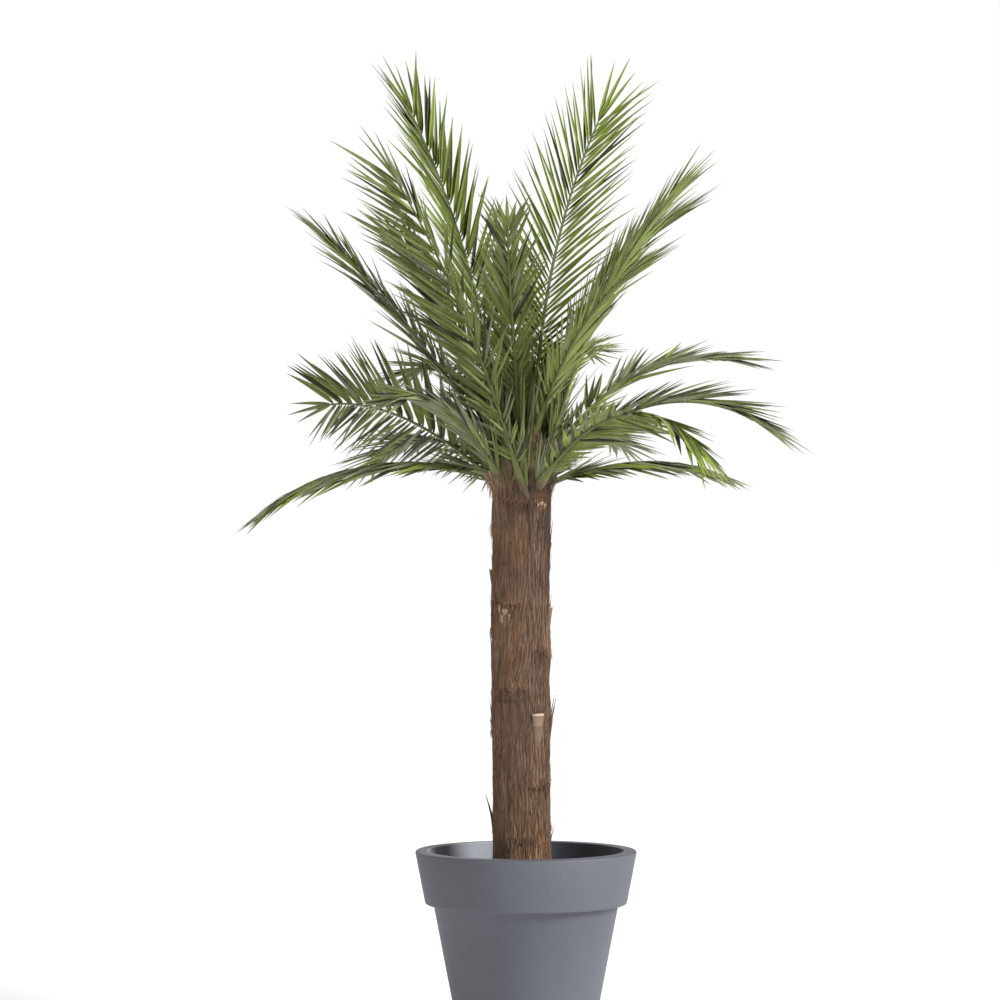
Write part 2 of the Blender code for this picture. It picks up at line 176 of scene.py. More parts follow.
# %% [markdown]
# Node trees for shading and for geometry are built by the same helpers. A value that is a
# socket becomes a link, and anything else becomes the socket's own value.


# %% Helpers for node trees
def feed(tree, socket, value):
    if isinstance(value, bpy.types.NodeSocket):
        tree.links.new(value, socket)
    else:
        socket.default_value = value


def add_node(tree, kind, inputs=None, **settings):
    node = tree.nodes.new(kind)
    for key, value in settings.items():
        setattr(node, key, value)
    for key, value in (inputs or {}).items():
        feed(tree, node.inputs[key], value)
    return node


def maths(tree, operation, a, b=0.0):
    return add_node(tree, "ShaderNodeMath", {0: a, 1: b}, operation=operation).outputs[0]


def live_input(node, index):
    """The node's index-th input among those that its settings leave in use."""
    return [socket for socket in node.inputs if socket.enabled][index]


def live_output(node):
    return next(socket for socket in node.outputs if socket.enabled)


def new_group(kind, name, takes, gives):
    """A node group, with the sockets that it takes its values from and those that it gives."""
    tree = bpy.data.node_groups.new(name, kind)
    for label, socket_type, value in takes:
        socket = tree.interface.new_socket(label, in_out="INPUT", socket_type=socket_type)
        if value is not None:
            socket.default_value = value
    for label, socket_type in gives:
        tree.interface.new_socket(label, in_out="OUTPUT", socket_type=socket_type)
    return tree, tree.nodes.new("NodeGroupInput").outputs, tree.nodes.new("NodeGroupOutput").inputs


def new_material(name, roughness):
    material = bpy.data.materials.new(name)
    material.use_nodes = True
    shader = material.node_tree.nodes["Principled BSDF"]
    shader.inputs["Roughness"].default_value = roughness
    return material, shader


def tone(colour, share=1.0):
    return (colour[0] * share, colour[1] * share, colour[2] * share, 1.0)


FLOAT, COLOUR, VECTOR = "NodeSocketFloat", "NodeSocketColor", "NodeSocketVector"

# %% [markdown]
# ## Camera
# A plant is shown straight on, by a level camera at about half its height. A long lens
# from 11 m keeps the pot and the crown in natural proportion. The pot's foot falls just
# below the picture.

# %% Camera
CAMERA_PLACE = (-0.078, -11.35, 1.65)
LENS_LENGTH, SENSOR_WIDTH = 136.2, 36.0  # mm

lens = bpy.data.cameras.new("studio_camera")
lens.lens = LENS_LENGTH
lens.sensor_width = SENSOR_WIDTH
camera = in_scene("studio_camera", lens)
camera.location = CAMERA_PLACE
camera.rotation_euler = (math.pi / 2, 0.0, 0.0)
bpy.context.scene.camera = camera
print("camera at", CAMERA_PLACE, "with a", LENS_LENGTH, "mm lens")

# %% [markdown]
# ## Floor, sky and lamps
# A plain pale floor runs out under a white sky, so no wall stands in the way of a view
# from behind. The sky gives soft light from all round. Two suns with wide discs give it a
# direction, as large studio lamps would, and light the whole floor alike: one from the
# right shapes the pot and the stem, and a weaker one reaches the leaves from behind.

# %% Floor
FLOOR_RADIUS = 80.0
FLOOR_SIDES = 96
FLOOR_DROP = 0.001  # it lies this far below the pot's foot


def floor_disc():
    turns = [math.tau * i / FLOOR_SIDES for i in range(FLOOR_SIDES)]
    points = [(FLOOR_RADIUS * math.cos(t), FLOOR_RADIUS * math.sin(t), -FLOOR_DROP) for t in turns]
    paint, shader = new_material("studio_floor", roughness=0.9)
    shader.inputs["Base Color"].default_value = (0.90, 0.90, 0.90, 1.0)
    return mesh_piece("studio_floor", points, [range(FLOOR_SIDES)], [paint])


floor_disc()
print("floor radius", FLOOR_RADIUS, "m")

# %% Sky and lamps
SKY_STRENGTH, SKY_SHOWN = 0.27, 1.0  # as a light, and as the camera sees it

world = bpy.data.worlds.new("studio_sky")
bpy.context.scene.world = world
world.use_nodes = True
sky = world.node_tree
sky.nodes.clear()
shown = {0: add_node(sky, "ShaderNodeLightPath").outputs["Is Camera Ray"]}
for number, strength in enumerate((SKY_STRENGTH, SKY_SHOWN)):
    white = {"Color": (1.0, 1.0, 1.0, 1.0), "Strength": strength}
    shown[number + 1] = add_node(sky, "ShaderNodeBackground", white).outputs[0]
seen = add_node(sky, "ShaderNodeMixShader", shown)
add_node(sky, "ShaderNodeOutputWorld", {"Surface": seen.outputs[0]})


def wide_sun(name, place, strength, width):
    """A sun as soft as a large studio lamp: its disc is width degrees, and it shines from place."""
    data = bpy.data.lights.new(name, "SUN")
    data.energy = strength
    data.angle = math.radians(width)
    lamp = in_scene(name, data)
    lamp.location = place
    lamp.rotation_euler = Vector(place).to_track_quat("Z", "Y").to_euler()


wide_sun("key_lamp", (7.4, -4.2, 5.7), strength=4.3, width=20.0)
wide_sun("back_lamp", (-2.5, 6.0, 6.5), strength=1.5, width=60.0)
bpy.context.scene.view_settings.view_transform = "Standard"
print("sky strength", SKY_STRENGTH)

# %% [markdown]
# ## Effects that several finishes share
# Real surfaces are never one even colour. Four small groups give the unevenness: mottle
# is a slow drift between two tones, speckle is fine grain in moulded plastic, streaks are
# noise drawn out along Z like fibre, and veins are the lines along a leaflet. They put out
# only colours and values, and each finish sets its own sizes on them.


# %% Shader groups
def noise_fac(tree, vector, scale, detail, roughness=0.55):
    inputs = {"Vector": vector, "Scale": scale, "Detail": detail, "Roughness": roughness}
    return add_node(tree, "ShaderNodeTexNoise", inputs).outputs["Fac"]


def mapped_range(tree, value, low, high, start=0.0, end=1.0):
    """Goes evenly from start to end as value goes from low to high, and stays there beyond."""
    inputs = {"Value": value, "From Min": low, "From Max": high, "To Min": start, "To Max": end}
    return add_node(tree, "ShaderNodeMapRange", inputs).outputs["Result"]


def mixed(tree, share, dark, light):
    """A mix of two colours; a Mix node keeps its colour sockets at 6, 7 and 2."""
    node = add_node(tree, "ShaderNodeMix", {0: share, 6: dark, 7: light}, data_type="RGBA")
    return node.outputs[2]


def new_tone_group(name, scale, first, second):
    """A group that puts a noise of some scale between two colours."""
    takes = [("Vector", VECTOR, None), ("Scale", FLOAT, scale), (first, COLOUR, None), (second, COLOUR, None)]
    return new_group("ShaderNodeTree", name, takes, [("Color", COLOUR), ("Value", FLOAT)])


def make_mottle():
    tree, take, give = new_tone_group("mottle", 5.0, "Dark", "Light")
    drift = noise_fac(tree, take["Vector"], take["Scale"], detail=4.0)
    share = mapped_range(tree, drift, low=0.34, high=0.66)
    feed(tree, give["Color"], mixed(tree, share, take["Dark"], take["Light"]))
    feed(tree, give["Value"], share)
    return tree


def make_speckle():
    tree, take, give = new_tone_group("speckle", 400.0, "Color", "Fleck")
    grain = noise_fac(tree, take["Vector"], take["Scale"], detail=2.0, roughness=0.7)
    share = mapped_range(tree, grain, low=0.48, high=0.72)
    feed(tree, give["Color"], mixed(tree, share, take["Color"], take["Fleck"]))
    feed(tree, give["Value"], grain)
    return tree


def make_streaks():
    takes = [("Vector", VECTOR, None), ("Across", FLOAT, 150.0), ("Along", FLOAT, 12.0)]
    tree, take, give = new_group("ShaderNodeTree", "streaks", takes, [("Value", FLOAT)])
    sizes = {"X": take["Across"], "Y": take["Across"], "Z": take["Along"]}
    vector = {0: take["Vector"], 1: add_node(tree, "ShaderNodeCombineXYZ", sizes).outputs[0]}
    drawn = add_node(tree, "ShaderNodeVectorMath", vector, operation="MULTIPLY")
    strands = noise_fac(tree, drawn.outputs[0], scale=1.0, detail=3.0, roughness=0.6)
    feed(tree, give["Value"], mapped_range(tree, strands, low=0.3, high=0.7))
    return tree


def make_veins():
    takes = [("UV", VECTOR, None), ("Lines", FLOAT, 9.0)]
    tree, take, give = new_group("ShaderNodeTree", "veins", takes, [("Midrib", FLOAT), ("Height", FLOAT)])
    across = add_node(tree, "ShaderNodeSeparateXYZ", {0: take["UV"]}).outputs["X"]
    off_middle = maths(tree, "ABSOLUTE", maths(tree, "SUBTRACT", across, 0.5))
    feed(tree, give["Midrib"], mapped_range(tree, off_middle, low=0.0, high=0.09, start=1.0, end=0.0))
    feed(tree, give["Height"], maths(tree, "FRACT", maths(tree, "MULTIPLY", across, take["Lines"])))
    return tree


MOTTLE, SPECKLE, STREAKS, VEINS = make_mottle(), make_speckle(), make_streaks(), make_veins()
print("shader groups:", [group.name for group in (MOTTLE, SPECKLE, STREAKS, VEINS)])

# %% [markdown]
# Every finish starts from the same few lines: a material with its shader, and the place
# of each point on the object. Bump needs a height in metres to look right, so its
# distance is set in metres, and its strength is at most 1.


# %% Helpers for finishes
def new_finish(name, roughness):
    """A material, its tree, its shader, and the node that gives each point's place on the object."""
    material, shader = new_material(name, roughness)
    tree = material.node_tree
    return material, tree, shader, add_node(tree, "ShaderNodeTexCoord")


def add_group(tree, group, inputs):
    return add_node(tree, "ShaderNodeGroup", inputs, node_tree=group).outputs


def mottled(tree, where, scale, dark, light):
    return add_group(tree, MOTTLE, {"Vector": where, "Scale": scale, "Dark": dark, "Light": light})


def add_bump(tree, shader, height, distance, strength=1.0):
    inputs = {"Height": height, "Distance": distance, "Strength": strength}
    feed(tree, shader.inputs["Normal"], add_node(tree, "ShaderNodeBump", inputs).outputs["Normal"])


def plain_finish(name, colour, roughness, drift=0.25, scale=60.0):
    """One plain colour that drifts a little lighter and darker."""
    material, tree, shader, place = new_finish(name, roughness)
    where = place.outputs["Object"]
    drifting = mottled(tree, where, scale, tone(colour, 1.0 - drift), tone(colour, 1.0 + drift))
    feed(tree, shader.inputs["Base Color"], drifting["Color"])
    return material


def plain_finishes(colours, **how):
    return [plain_finish(name, colour, **how) for name, colour in colours.items()]


# %% [markdown]
# ## The planter
# A moulded planter in slate grey: it tapers to its foot, and a deep band steps out under
# a wide flat lip. It is round, so a profile turned about Z gives it exactly. The solid has
# 48 sides and small corners of two runs, and this one has finer sides and rounder edges,
# of the same sizes.

# %% Planter profile
POT_HEIGHT = pot_high.z
POT_RIM_RADIUS = pot_high.x
POT_BAND_DEPTH = 0.16
POT_BAND_FOOT_RADIUS = 0.3035
POT_BASE_RADIUS = 0.1945
POT_SLOPE = 0.1895
POT_WALL = 0.016
POT_EDGE_ROUND = 0.007
POT_LIP_ROUND = 0.004
NOOK_OUT, NOOK_UP, NOOK_DOWN = 0.002, 0.0005, 0.003  # the fillet in the corner under the band
POT_SIDES = 160
POT_ARC_STEPS = 6


def pot_body_radius(height):
    return POT_BASE_RADIUS + POT_SLOPE * height


def arc(radius, height, round_, start, end):
    """A rounded corner of the profile about a centre, as (radius, height) pairs."""
    turns = [math.radians(lerp(start, end, i / POT_ARC_STEPS)) for i in range(POT_ARC_STEPS + 1)]
    return [(radius + round_ * math.cos(t), height + round_ * math.sin(t)) for t in turns]


def planter_profile():
    """From the middle of the floor up the inside, over the lip and down the outside."""
    r, lip, band_foot = POT_EDGE_ROUND, POT_LIP_ROUND, POT_HEIGHT - POT_BAND_DEPTH
    inside = pot_body_radius(POT_HEIGHT) - POT_WALL
    return [
        (0.0, POT_WALL),
        (pot_body_radius(POT_WALL) - POT_WALL, POT_WALL),
        *arc(inside + lip, POT_HEIGHT - lip, lip, 180, 90),
        *arc(POT_RIM_RADIUS - r, POT_HEIGHT - r, r, 90, 0),
        *arc(POT_BAND_FOOT_RADIUS - r, band_foot + r, r, 0, -90),
        (pot_body_radius(band_foot) + NOOK_OUT, band_foot + NOOK_UP),
        (pot_body_radius(band_foot - NOOK_DOWN), band_foot - NOOK_DOWN),
        *arc(POT_BASE_RADIUS - r, r, r, 0, -90),
        (0.0, 0.0),
    ]


# %% [markdown]
# The finish is matte, with a very fine speckle and a slow drift in tone. The grain is
# also a shallow bump, which breaks up the sheen as moulded grit does. Inside, above the
# earth, the wall has painted light on its left, where the key lamp falls, and painted shade
# on its right. The lip's top is a little darker, as painted shade.


# %% Planter finish and mesh
SLATE = ((0.092, 0.099, 0.118), (0.107, 0.115, 0.135))
# Inside the pot, above the earth: painted light on the left of the wall, painted shade on its right.
INSIDE_PAINTED_LIGHT = ((0.215, 0.228, 0.262), (0.255, 0.270, 0.305))
INSIDE_PAINTED_SHADE = ((0.052, 0.058, 0.074), (0.064, 0.071, 0.089))
# The lip's top, which faces up, is a little darker: painted shade.
LIP_PAINTED_SHADE = ((0.066, 0.072, 0.087), (0.078, 0.084, 0.100))
INSIDE_SHADE_FROM, INSIDE_SHADE_TO, INSIDE_SHADE_RAGGED = -0.03, 0.15, 0.12  # metres from left to right
DRIFT_SCALE, GRIT_SCALE, GRIT_SHARE = 3.5, 420.0, 1.24  # the flecks are lighter by this share
GRIT_HEIGHT, GRIT_STRENGTH = 0.0006, 0.5
LIP_FACING = 0.6  # a face that looks up by more than this belongs to the lip


def planter_grain(tree, where, dark, light):
    drift = mottled(tree, where, DRIFT_SCALE, tone(dark), tone(light))["Color"]
    inputs = {"Vector": where, "Scale": GRIT_SCALE, "Color": drift, "Fleck": tone(light, GRIT_SHARE)}
    return add_group(tree, SPECKLE, inputs)


def planter_finish(name, left, right=None):
    """The finish in one pair of tones, or in two pairs that meet in a ragged fade."""
    material, tree, shader, place = new_finish(name, roughness=0.62)
    where = place.outputs["Object"]
    grain = planter_grain(tree, where, *left)
    colour = grain["Color"]
    # Inside the pot the left pair is painted light and the right pair painted shade, faded across X.
    if right:
        across = add_node(tree, "ShaderNodeSeparateXYZ", {0: where}).outputs["X"]
        stray = maths(tree, "MULTIPLY", noise_fac(tree, where, scale=9.0, detail=3.0), INSIDE_SHADE_RAGGED)
        share = mapped_range(tree, maths(tree, "ADD", stray, across), INSIDE_SHADE_FROM, INSIDE_SHADE_TO)
        colour = mixed(tree, share, colour, planter_grain(tree, where, *right)["Color"])
    feed(tree, shader.inputs["Base Color"], colour)
    add_bump(tree, shader, grain["Value"], GRIT_HEIGHT, GRIT_STRENGTH)
    return material


def make_planter():
    profile = planter_profile()
    mesh = bpy.data.meshes.new("planter")
    mesh.from_pydata([(r, 0.0, z) for r, z in profile], [(i, i + 1) for i in range(len(profile) - 1)], [])
    obj = in_scene("planter", mesh)
    turn = obj.modifiers.new("Turn", "SCREW")
    turn.steps = turn.render_steps = POT_SIDES
    turn.use_merge_vertices = True
    turn.merge_threshold = 0.00001
    plain_mesh(obj)
    point_outwards(obj)
    for finish in (("planter_slate", SLATE), ("planter_inside", INSIDE_PAINTED_LIGHT, INSIDE_PAINTED_SHADE), ("planter_lip", LIP_PAINTED_SHADE)):
        obj.data.materials.append(planter_finish(*finish))
    # Faces inside take the inside finish, and faces that look up take the lip's painted shade.
    for face in obj.data.polygons:
        middle = face.center
        inner = math.hypot(middle.x, middle.y) < pot_body_radius(middle.z) - 0.5 * POT_WALL
        if inner and middle.z > POT_WALL:
            face.material_index = 1
        elif face.normal.z > LIP_FACING:
            face.material_index = 2
    obj.data.shade_smooth()
    obj.data.set_sharp_from_angle(angle=math.radians(35))
    return obj


dress(make_planter(), "planter", "pot")

# %% [markdown]
# ## The fill
# The trunk stands in earth, with chips of bark over it. The surface could be a flat disc
# with a bump, but it is seen from above and needs real lumps, so it is a fine disc whose
# points are lifted by noise. Its sides go down to the pot's floor as the solid does.

# %% Fill surface
FILL_RINGS = 44
FILL_SIDES = 128
FILL_LUMP = 0.004
FILL_CALM = 0.02  # the lumps die away this near to the wall
FILL_GAP = 0.0003
EARTH = ((0.018, 0.013, 0.010), (0.060, 0.044, 0.032))


def earth_finish():
    material, tree, shader, place = new_finish("potting_earth", roughness=0.95)
    crumbs = mottled(tree, place.outputs["Object"], 90.0, tone(EARTH[0]), tone(EARTH[1]))
    feed(tree, shader.inputs["Base Color"], crumbs["Color"])
    add_bump(tree, shader, crumbs["Value"], distance=0.003)
    return material


def make_earth():
    outer = fill_high.x
    points = [(0.0, 0.0, fill_high.z)]
    for ring in range(1, FILL_RINGS + 1):
        radius = outer * ring / FILL_RINGS
        for side in range(FILL_SIDES):
            turn = math.tau * side / FILL_SIDES
            x, y = radius * math.cos(turn), radius * math.sin(turn)
            lump = noise.noise(Vector((x, y, 0.3)) * 28.0) + 0.5 * noise.noise(Vector((x, y, 0.9)) * 75.0)
            lump *= FILL_LUMP * falling(radius, outer, FILL_CALM)
            points.append((x, y, fill_high.z + lump))
    foot = fill_low.z
    shrink = (pot_body_radius(foot) - POT_WALL - FILL_GAP) / outer
    last = 1 + (FILL_RINGS - 1) * FILL_SIDES
    points += [(x * shrink, y * shrink, foot) for x, y, _ in points[last:]]
    points.append((0.0, 0.0, foot))
    faces = []
    for side in range(FILL_SIDES):
        step = (side + 1) % FILL_SIDES
        faces.append((0, 1 + side, 1 + step))
        for ring in range(FILL_RINGS):
            a, b = 1 + ring * FILL_SIDES, 1 + (ring + 1) * FILL_SIDES
            faces.append((a + side, b + side, b + step, a + step))
        faces.append((last + FILL_SIDES + side, len(points) - 1, last + FILL_SIDES + step))
    return closed_piece("earth", points, faces, [earth_finish()], crease=50)


earth = make_earth()
dress(earth, "fill", "fill")

# %% [markdown]
# ## Scattering one small thing over a surface
# Chips on the earth and fibres on the trunk are the same job: many copies of a few small
# shapes, laid on a surface with seeded chance. Geometry Nodes do that well. The tree
# scatters points where the surface's own attribute allows, lays a picked shape at each,
# turned to the surface, and ends with plain meshes that have their materials, because
# instances don't leave Blender.

# %% The scatter tree
SHADES = 4
MOST_POINTS = 40000.0  # for each square metre
WIDTH_CHANCE = (0.7, 1.3)  # how a copy's width differs from the one asked for
SCATTER_TAKES = [
    ("Geometry", "NodeSocketGeometry", None),
    ("Shapes", "NodeSocketCollection", None),
    ("Shape Count", "NodeSocketInt", 1),
    ("Where", "NodeSocketString", "where"),
    ("Tone", "NodeSocketString", "tone"),
    ("Slant", "NodeSocketString", "slant"),
    ("Least Gap", FLOAT, 0.01),
    ("Run", VECTOR, (0.0, 0.0, 1.0)),
    ("Spread", FLOAT, 0.2),
    ("Tilt", FLOAT, 0.1),
    ("Shortest", FLOAT, 0.05),
    ("Longest", FLOAT, 0.10),
    ("Width", FLOAT, 0.001),
    ("Mixing", FLOAT, 0.3),
    ("Seed", "NodeSocketInt", 1),
] + [(f"Shade {i + 1}", "NodeSocketMaterial", None) for i in range(SHADES)]


def random_float(tree, low, high, seed, draw):
    """A number by chance for each point. draw numbers the tree's draws, so that they differ."""
    node = add_node(tree, "FunctionNodeRandomValue", data_type="FLOAT")
    feed(tree, live_input(node, 0), low)
    feed(tree, live_input(node, 1), high)
    feed(tree, node.inputs["Seed"], maths(tree, "ADD", seed, float(draw)))
    return live_output(node)


def either_way(tree, reach, seed, draw):
    return random_float(tree, maths(tree, "MULTIPLY", reach, -1.0), reach, seed, draw)


def named(tree, label):
    node = add_node(tree, "GeometryNodeInputNamedAttribute", {"Name": label}, data_type="FLOAT")
    return live_output(node)


def laid_shapes(tree, take):
    """The picked shapes, laid on the surface and turned to it."""
    seed = take["Seed"]
    inputs = {
        "Mesh": take["Geometry"],
        "Distance Min": take["Least Gap"],
        "Density Max": MOST_POINTS,
        "Density Factor": named(tree, take["Where"]),
        "Seed": seed,
    }
    spots = add_node(tree, "GeometryNodeDistributePointsOnFaces", inputs, distribute_method="POISSON").outputs
    normal = spots["Normal"]

    swing = maths(tree, "ADD", either_way(tree, take["Spread"], seed, 1), named(tree, take["Slant"]))
    run = add_node(tree, "ShaderNodeVectorRotate", {"Vector": take["Run"], "Axis": normal, "Angle": swing})
    along = add_node(tree, "FunctionNodeAlignRotationToVector", {"Vector": run.outputs[0]}, axis="Z")
    inputs = {"Rotation": along.outputs[0], "Vector": normal}
    laid = add_node(tree, "FunctionNodeAlignRotationToVector", inputs, axis="X", pivot_axis="Z")
    lean = add_node(tree, "ShaderNodeCombineXYZ", {"Y": either_way(tree, take["Tilt"], seed, 2)})
    inputs = {"Rotation": laid.outputs[0], "Rotate By": lean.outputs[0]}
    tipped = add_node(tree, "FunctionNodeRotateRotation", inputs, rotation_space="LOCAL")

    length = random_float(tree, take["Shortest"], take["Longest"], seed, 3)
    width = maths(tree, "MULTIPLY", take["Width"], random_float(tree, *WIDTH_CHANCE, seed, 4))
    size = add_node(tree, "ShaderNodeCombineXYZ", {"X": width, "Y": width, "Z": length})
    pick = maths(tree, "MULTIPLY", random_float(tree, 0.0, 1.0, seed, 5), take["Shape Count"])
    inputs = {"Collection": take["Shapes"], "Separate Children": True, "Reset Children": True}
    shapes = add_node(tree, "GeometryNodeCollectionInfo", inputs)
    copies = {
        "Points": spots["Points"],
        "Instance": shapes.outputs[0],
        "Pick Instance": True,
        "Instance Index": maths(tree, "FLOOR", pick),
        "Rotation": tipped.outputs[0],
        "Scale": size.outputs[0],
    }
    return add_node(tree, "GeometryNodeInstanceOnPoints", copies).outputs[0]


def make_scatter():
    gives = [("Geometry", "NodeSocketGeometry")]
    tree, take, give = new_group("GeometryNodeTree", "scatter", SCATTER_TAKES, gives)
    shade = maths(tree, "ADD", named(tree, take["Tone"]), either_way(tree, take["Mixing"], take["Seed"], 6))
    shade = maths(tree, "FLOOR", maths(tree, "MULTIPLY", shade, float(SHADES)))
    shade = maths(tree, "MAXIMUM", maths(tree, "MINIMUM", shade, SHADES - 1.0), 0.0)
    inputs = {"Name": "shade", "Geometry": laid_shapes(tree, take)}
    kept = add_node(tree, "GeometryNodeStoreNamedAttribute", inputs, data_type="FLOAT", domain="INSTANCE")
    feed(tree, live_input(kept, 3), shade)
    shape = add_node(tree, "GeometryNodeRealizeInstances", {"Geometry": kept.outputs[0]}).outputs[0]
    for i in range(SHADES):
        same = add_node(tree, "FunctionNodeCompare", data_type="FLOAT", operation="EQUAL")
        for index, value in enumerate((named(tree, "shade"), float(i), 0.1)):
            feed(tree, live_input(same, index), value)
        inputs = {"Geometry": shape, "Material": take[f"Shade {i + 1}"], "Selection": same.outputs[0]}
        shape = add_node(tree, "GeometryNodeSetMaterial", inputs).outputs[0]
    feed(tree, give[0], shape)
    return tree


SCATTER = make_scatter()
print("scatter tree with", len(SCATTER.nodes), "nodes")


# %% [markdown]
# The tree's inputs are set by their identifiers before the object is first worked out.
# Those that aren't given keep the tree's own values, such as the names of the attributes.
# The surface itself is copied, so that only the scattered shapes are left in the result.


# %% Using the scatter tree
def scatter(name, surface, shapes, finishes, **sizes):
    group = bpy.data.collections.new(f"{name}_shapes")
    for shape in shapes:
        group.objects.link(shape)
        bpy.context.scene.collection.objects.unlink(shape)
    obj = in_scene(name, surface.data.copy())
    modifier = obj.modifiers.new("Scatter", "NODES")
    modifier.node_group = SCATTER
    values = {"Shapes": group, "Shape Count": len(shapes)}
    values.update({f"Shade {i + 1}": finish for i, finish in enumerate(finishes)})
    values.update({key.replace("_", " ").title(): value for key, value in sizes.items()})
    for socket in SCATTER.interface.items_tree:
        if socket.in_out == "INPUT" and socket.name in values:
            modifier[socket.identifier] = values[socket.name]
    plain_mesh(obj)
    for shape in shapes:
        bpy.data.objects.remove(shape)
    bpy.data.collections.remove(group)
    return obj


def store(obj, label, values):
    """Keeps one number for each point of a mesh, which the scatter tree and the finishes read."""
    attribute = obj.data.attributes.new(label, "FLOAT", "POINT")
    attribute.data.foreach_set("value", np.asarray(values, np.float32))


# %% [markdown]
# ## Chips of bark
# Flat broken chips, no two alike, lie on the earth between the trunk and the pot's wall.
# Four bent chips with uneven corners are enough for several hundred of them.

# %% Chips
STEM_X = -0.013  # the stem stands a little to the left of the pot's middle
CHIP_GAP, CHIP_TONE = 0.0145, 0.42
CHIP_OFF_STEM, CHIP_OFF_WALL, CHIP_DEEPEST = 0.112, 0.022, 0.02  # where they may lie on the earth
CHIP_SHAPES, CHIP_RINGS = 4, 4
CHIP_COLOURS = {
    "bark_chip_1": (0.035, 0.022, 0.015),
    "bark_chip_2": (0.070, 0.043, 0.027),
    "bark_chip_3": (0.115, 0.070, 0.042),
    "bark_chip_4": (0.175, 0.115, 0.072),
}


def chip_shape(index, dice):
    """A bent chip that lies along Z and faces X: unit long, and its width in units of 10 mm."""
    points = []
    for i in range(CHIP_RINGS):
        along = lerp(-0.5, 0.5, i / (CHIP_RINGS - 1))
        half = dice.uniform(0.35, 0.62) * (0.75 if i in (0, CHIP_RINGS - 1) else 1.0)
        rise = 0.16 * math.cos(along * 3.0) + dice.uniform(-0.04, 0.04)
        thick = dice.uniform(0.12, 0.2)
        skew = dice.uniform(-0.06, 0.06)
        points += [(rise, -half, along + skew), (rise + thick, 0.0, along), (rise, half, along - skew)]
        points.append((rise - thick * 0.5, 0.0, along))
    faces = [*tube_sides(0, CHIP_RINGS, 4), (0, 1, 2, 3), (12, 13, 14, 15)]
    return closed_piece(f"chip_{index}", points, faces, [], crease=25)


def make_chips():
    spots = np.array([v.co for v in earth.data.vertices])
    off_stem = np.hypot(spots[:, 0] - STEM_X, spots[:, 1]) > CHIP_OFF_STEM
    off_wall = np.hypot(spots[:, 0], spots[:, 1]) < fill_high.x - CHIP_OFF_WALL
    store(earth, "where", off_stem & off_wall & (spots[:, 2] > fill_high.z - CHIP_DEEPEST))
    store(earth, "tone", np.full(len(spots), CHIP_TONE))
    store(earth, "slant", np.zeros(len(spots)))
    dice = random.Random("chips")
    shapes = [chip_shape(i, dice) for i in range(CHIP_SHAPES)]
    return scatter(
        "bark_chips", earth, shapes, plain_finishes(CHIP_COLOURS, roughness=0.85), least_gap=CHIP_GAP,
        run=(1.0, 0.0, 0.0), spread=math.pi, tilt=0.35, shortest=0.018, longest=0.038, width=0.011,
        mixing=0.45, seed=5,
    )


dress(make_chips(), "fill")

# %% [markdown]
# ## The trunk
# The stem of a young date palm is wrapped in the fibre of its old leaf sheaths: brown,
# matted and mostly upright, with ragged edges where one sheath ends over the next, seams,
# hollows and paler torn places. A plain tube with a picture of bark would look like a
# post, so the tube's own points are moved in and out. First comes the line and girth that
# the solid has, by the same rule and the same sizes.

# %% The trunk's line and girth
TRUNK_FOOT = trunk_low.z
TRUNK_RADIUS = 0.085
TRUNK_FLARE, TRUNK_FLARE_HEIGHT = 0.003, 0.09
TRUNK_STRAIGHT = 0.72
TRUNK_SWAY = 0.004
HEAD_FOOT, HEAD_BULGE, HEAD_TOP = 1.68, 1.76, 1.955
HEAD_BULGE_RADIUS = 0.106
HEAD_CROWN_POWER, HEAD_ROUND_POWER = 1.9, 0.72
HEAD_AXIS = -0.012


def head_radius(height):
    if height <= HEAD_BULGE:
        return lerp(TRUNK_RADIUS, HEAD_BULGE_RADIUS, rising(height, HEAD_FOOT, HEAD_BULGE - HEAD_FOOT))
    up = min((height - HEAD_BULGE) / (HEAD_TOP - HEAD_BULGE), 1.0)
    return HEAD_BULGE_RADIUS * (1.0 - up**HEAD_CROWN_POWER) ** HEAD_ROUND_POWER


def trunk_radius(height):
    return head_radius(height) + TRUNK_FLARE * (1.0 - rising(height, TRUNK_FOOT, TRUNK_FLARE_HEIGHT))


def trunk_axis_x(height):
    up = min(max((height - TRUNK_STRAIGHT) / (HEAD_FOOT - TRUNK_STRAIGHT), 0.0), 1.0)
    return lerp(STEM_X, HEAD_AXIS, float(ease(up))) - TRUNK_SWAY * math.sin(math.pi * up)


print("trunk from", round(TRUNK_FOOT, 3), "to", round(HEAD_TOP, 3), "m")

# %% [markdown]
# What is particular about this stem is told as a short list of places: how far round it
# (-90 faces the front), how high, how large, how light the fibre is there (0 dark, 1
# straw) and how far it stands out or in. The sides that face away get places by seeded
# chance. Sheath edges are told in the same way, by their height and how far they reach.


# %% Places and sheath edges on the trunk
class Place(NamedTuple):
    heading: float
    height: float
    half_width: float
    half_height: float
    tone: float
    out: float = 0.0


class Edge(NamedTuple):
    heading: float
    height: float
    half_width: float
    out: float
    slope: float  # metres that it drops for each radian further round


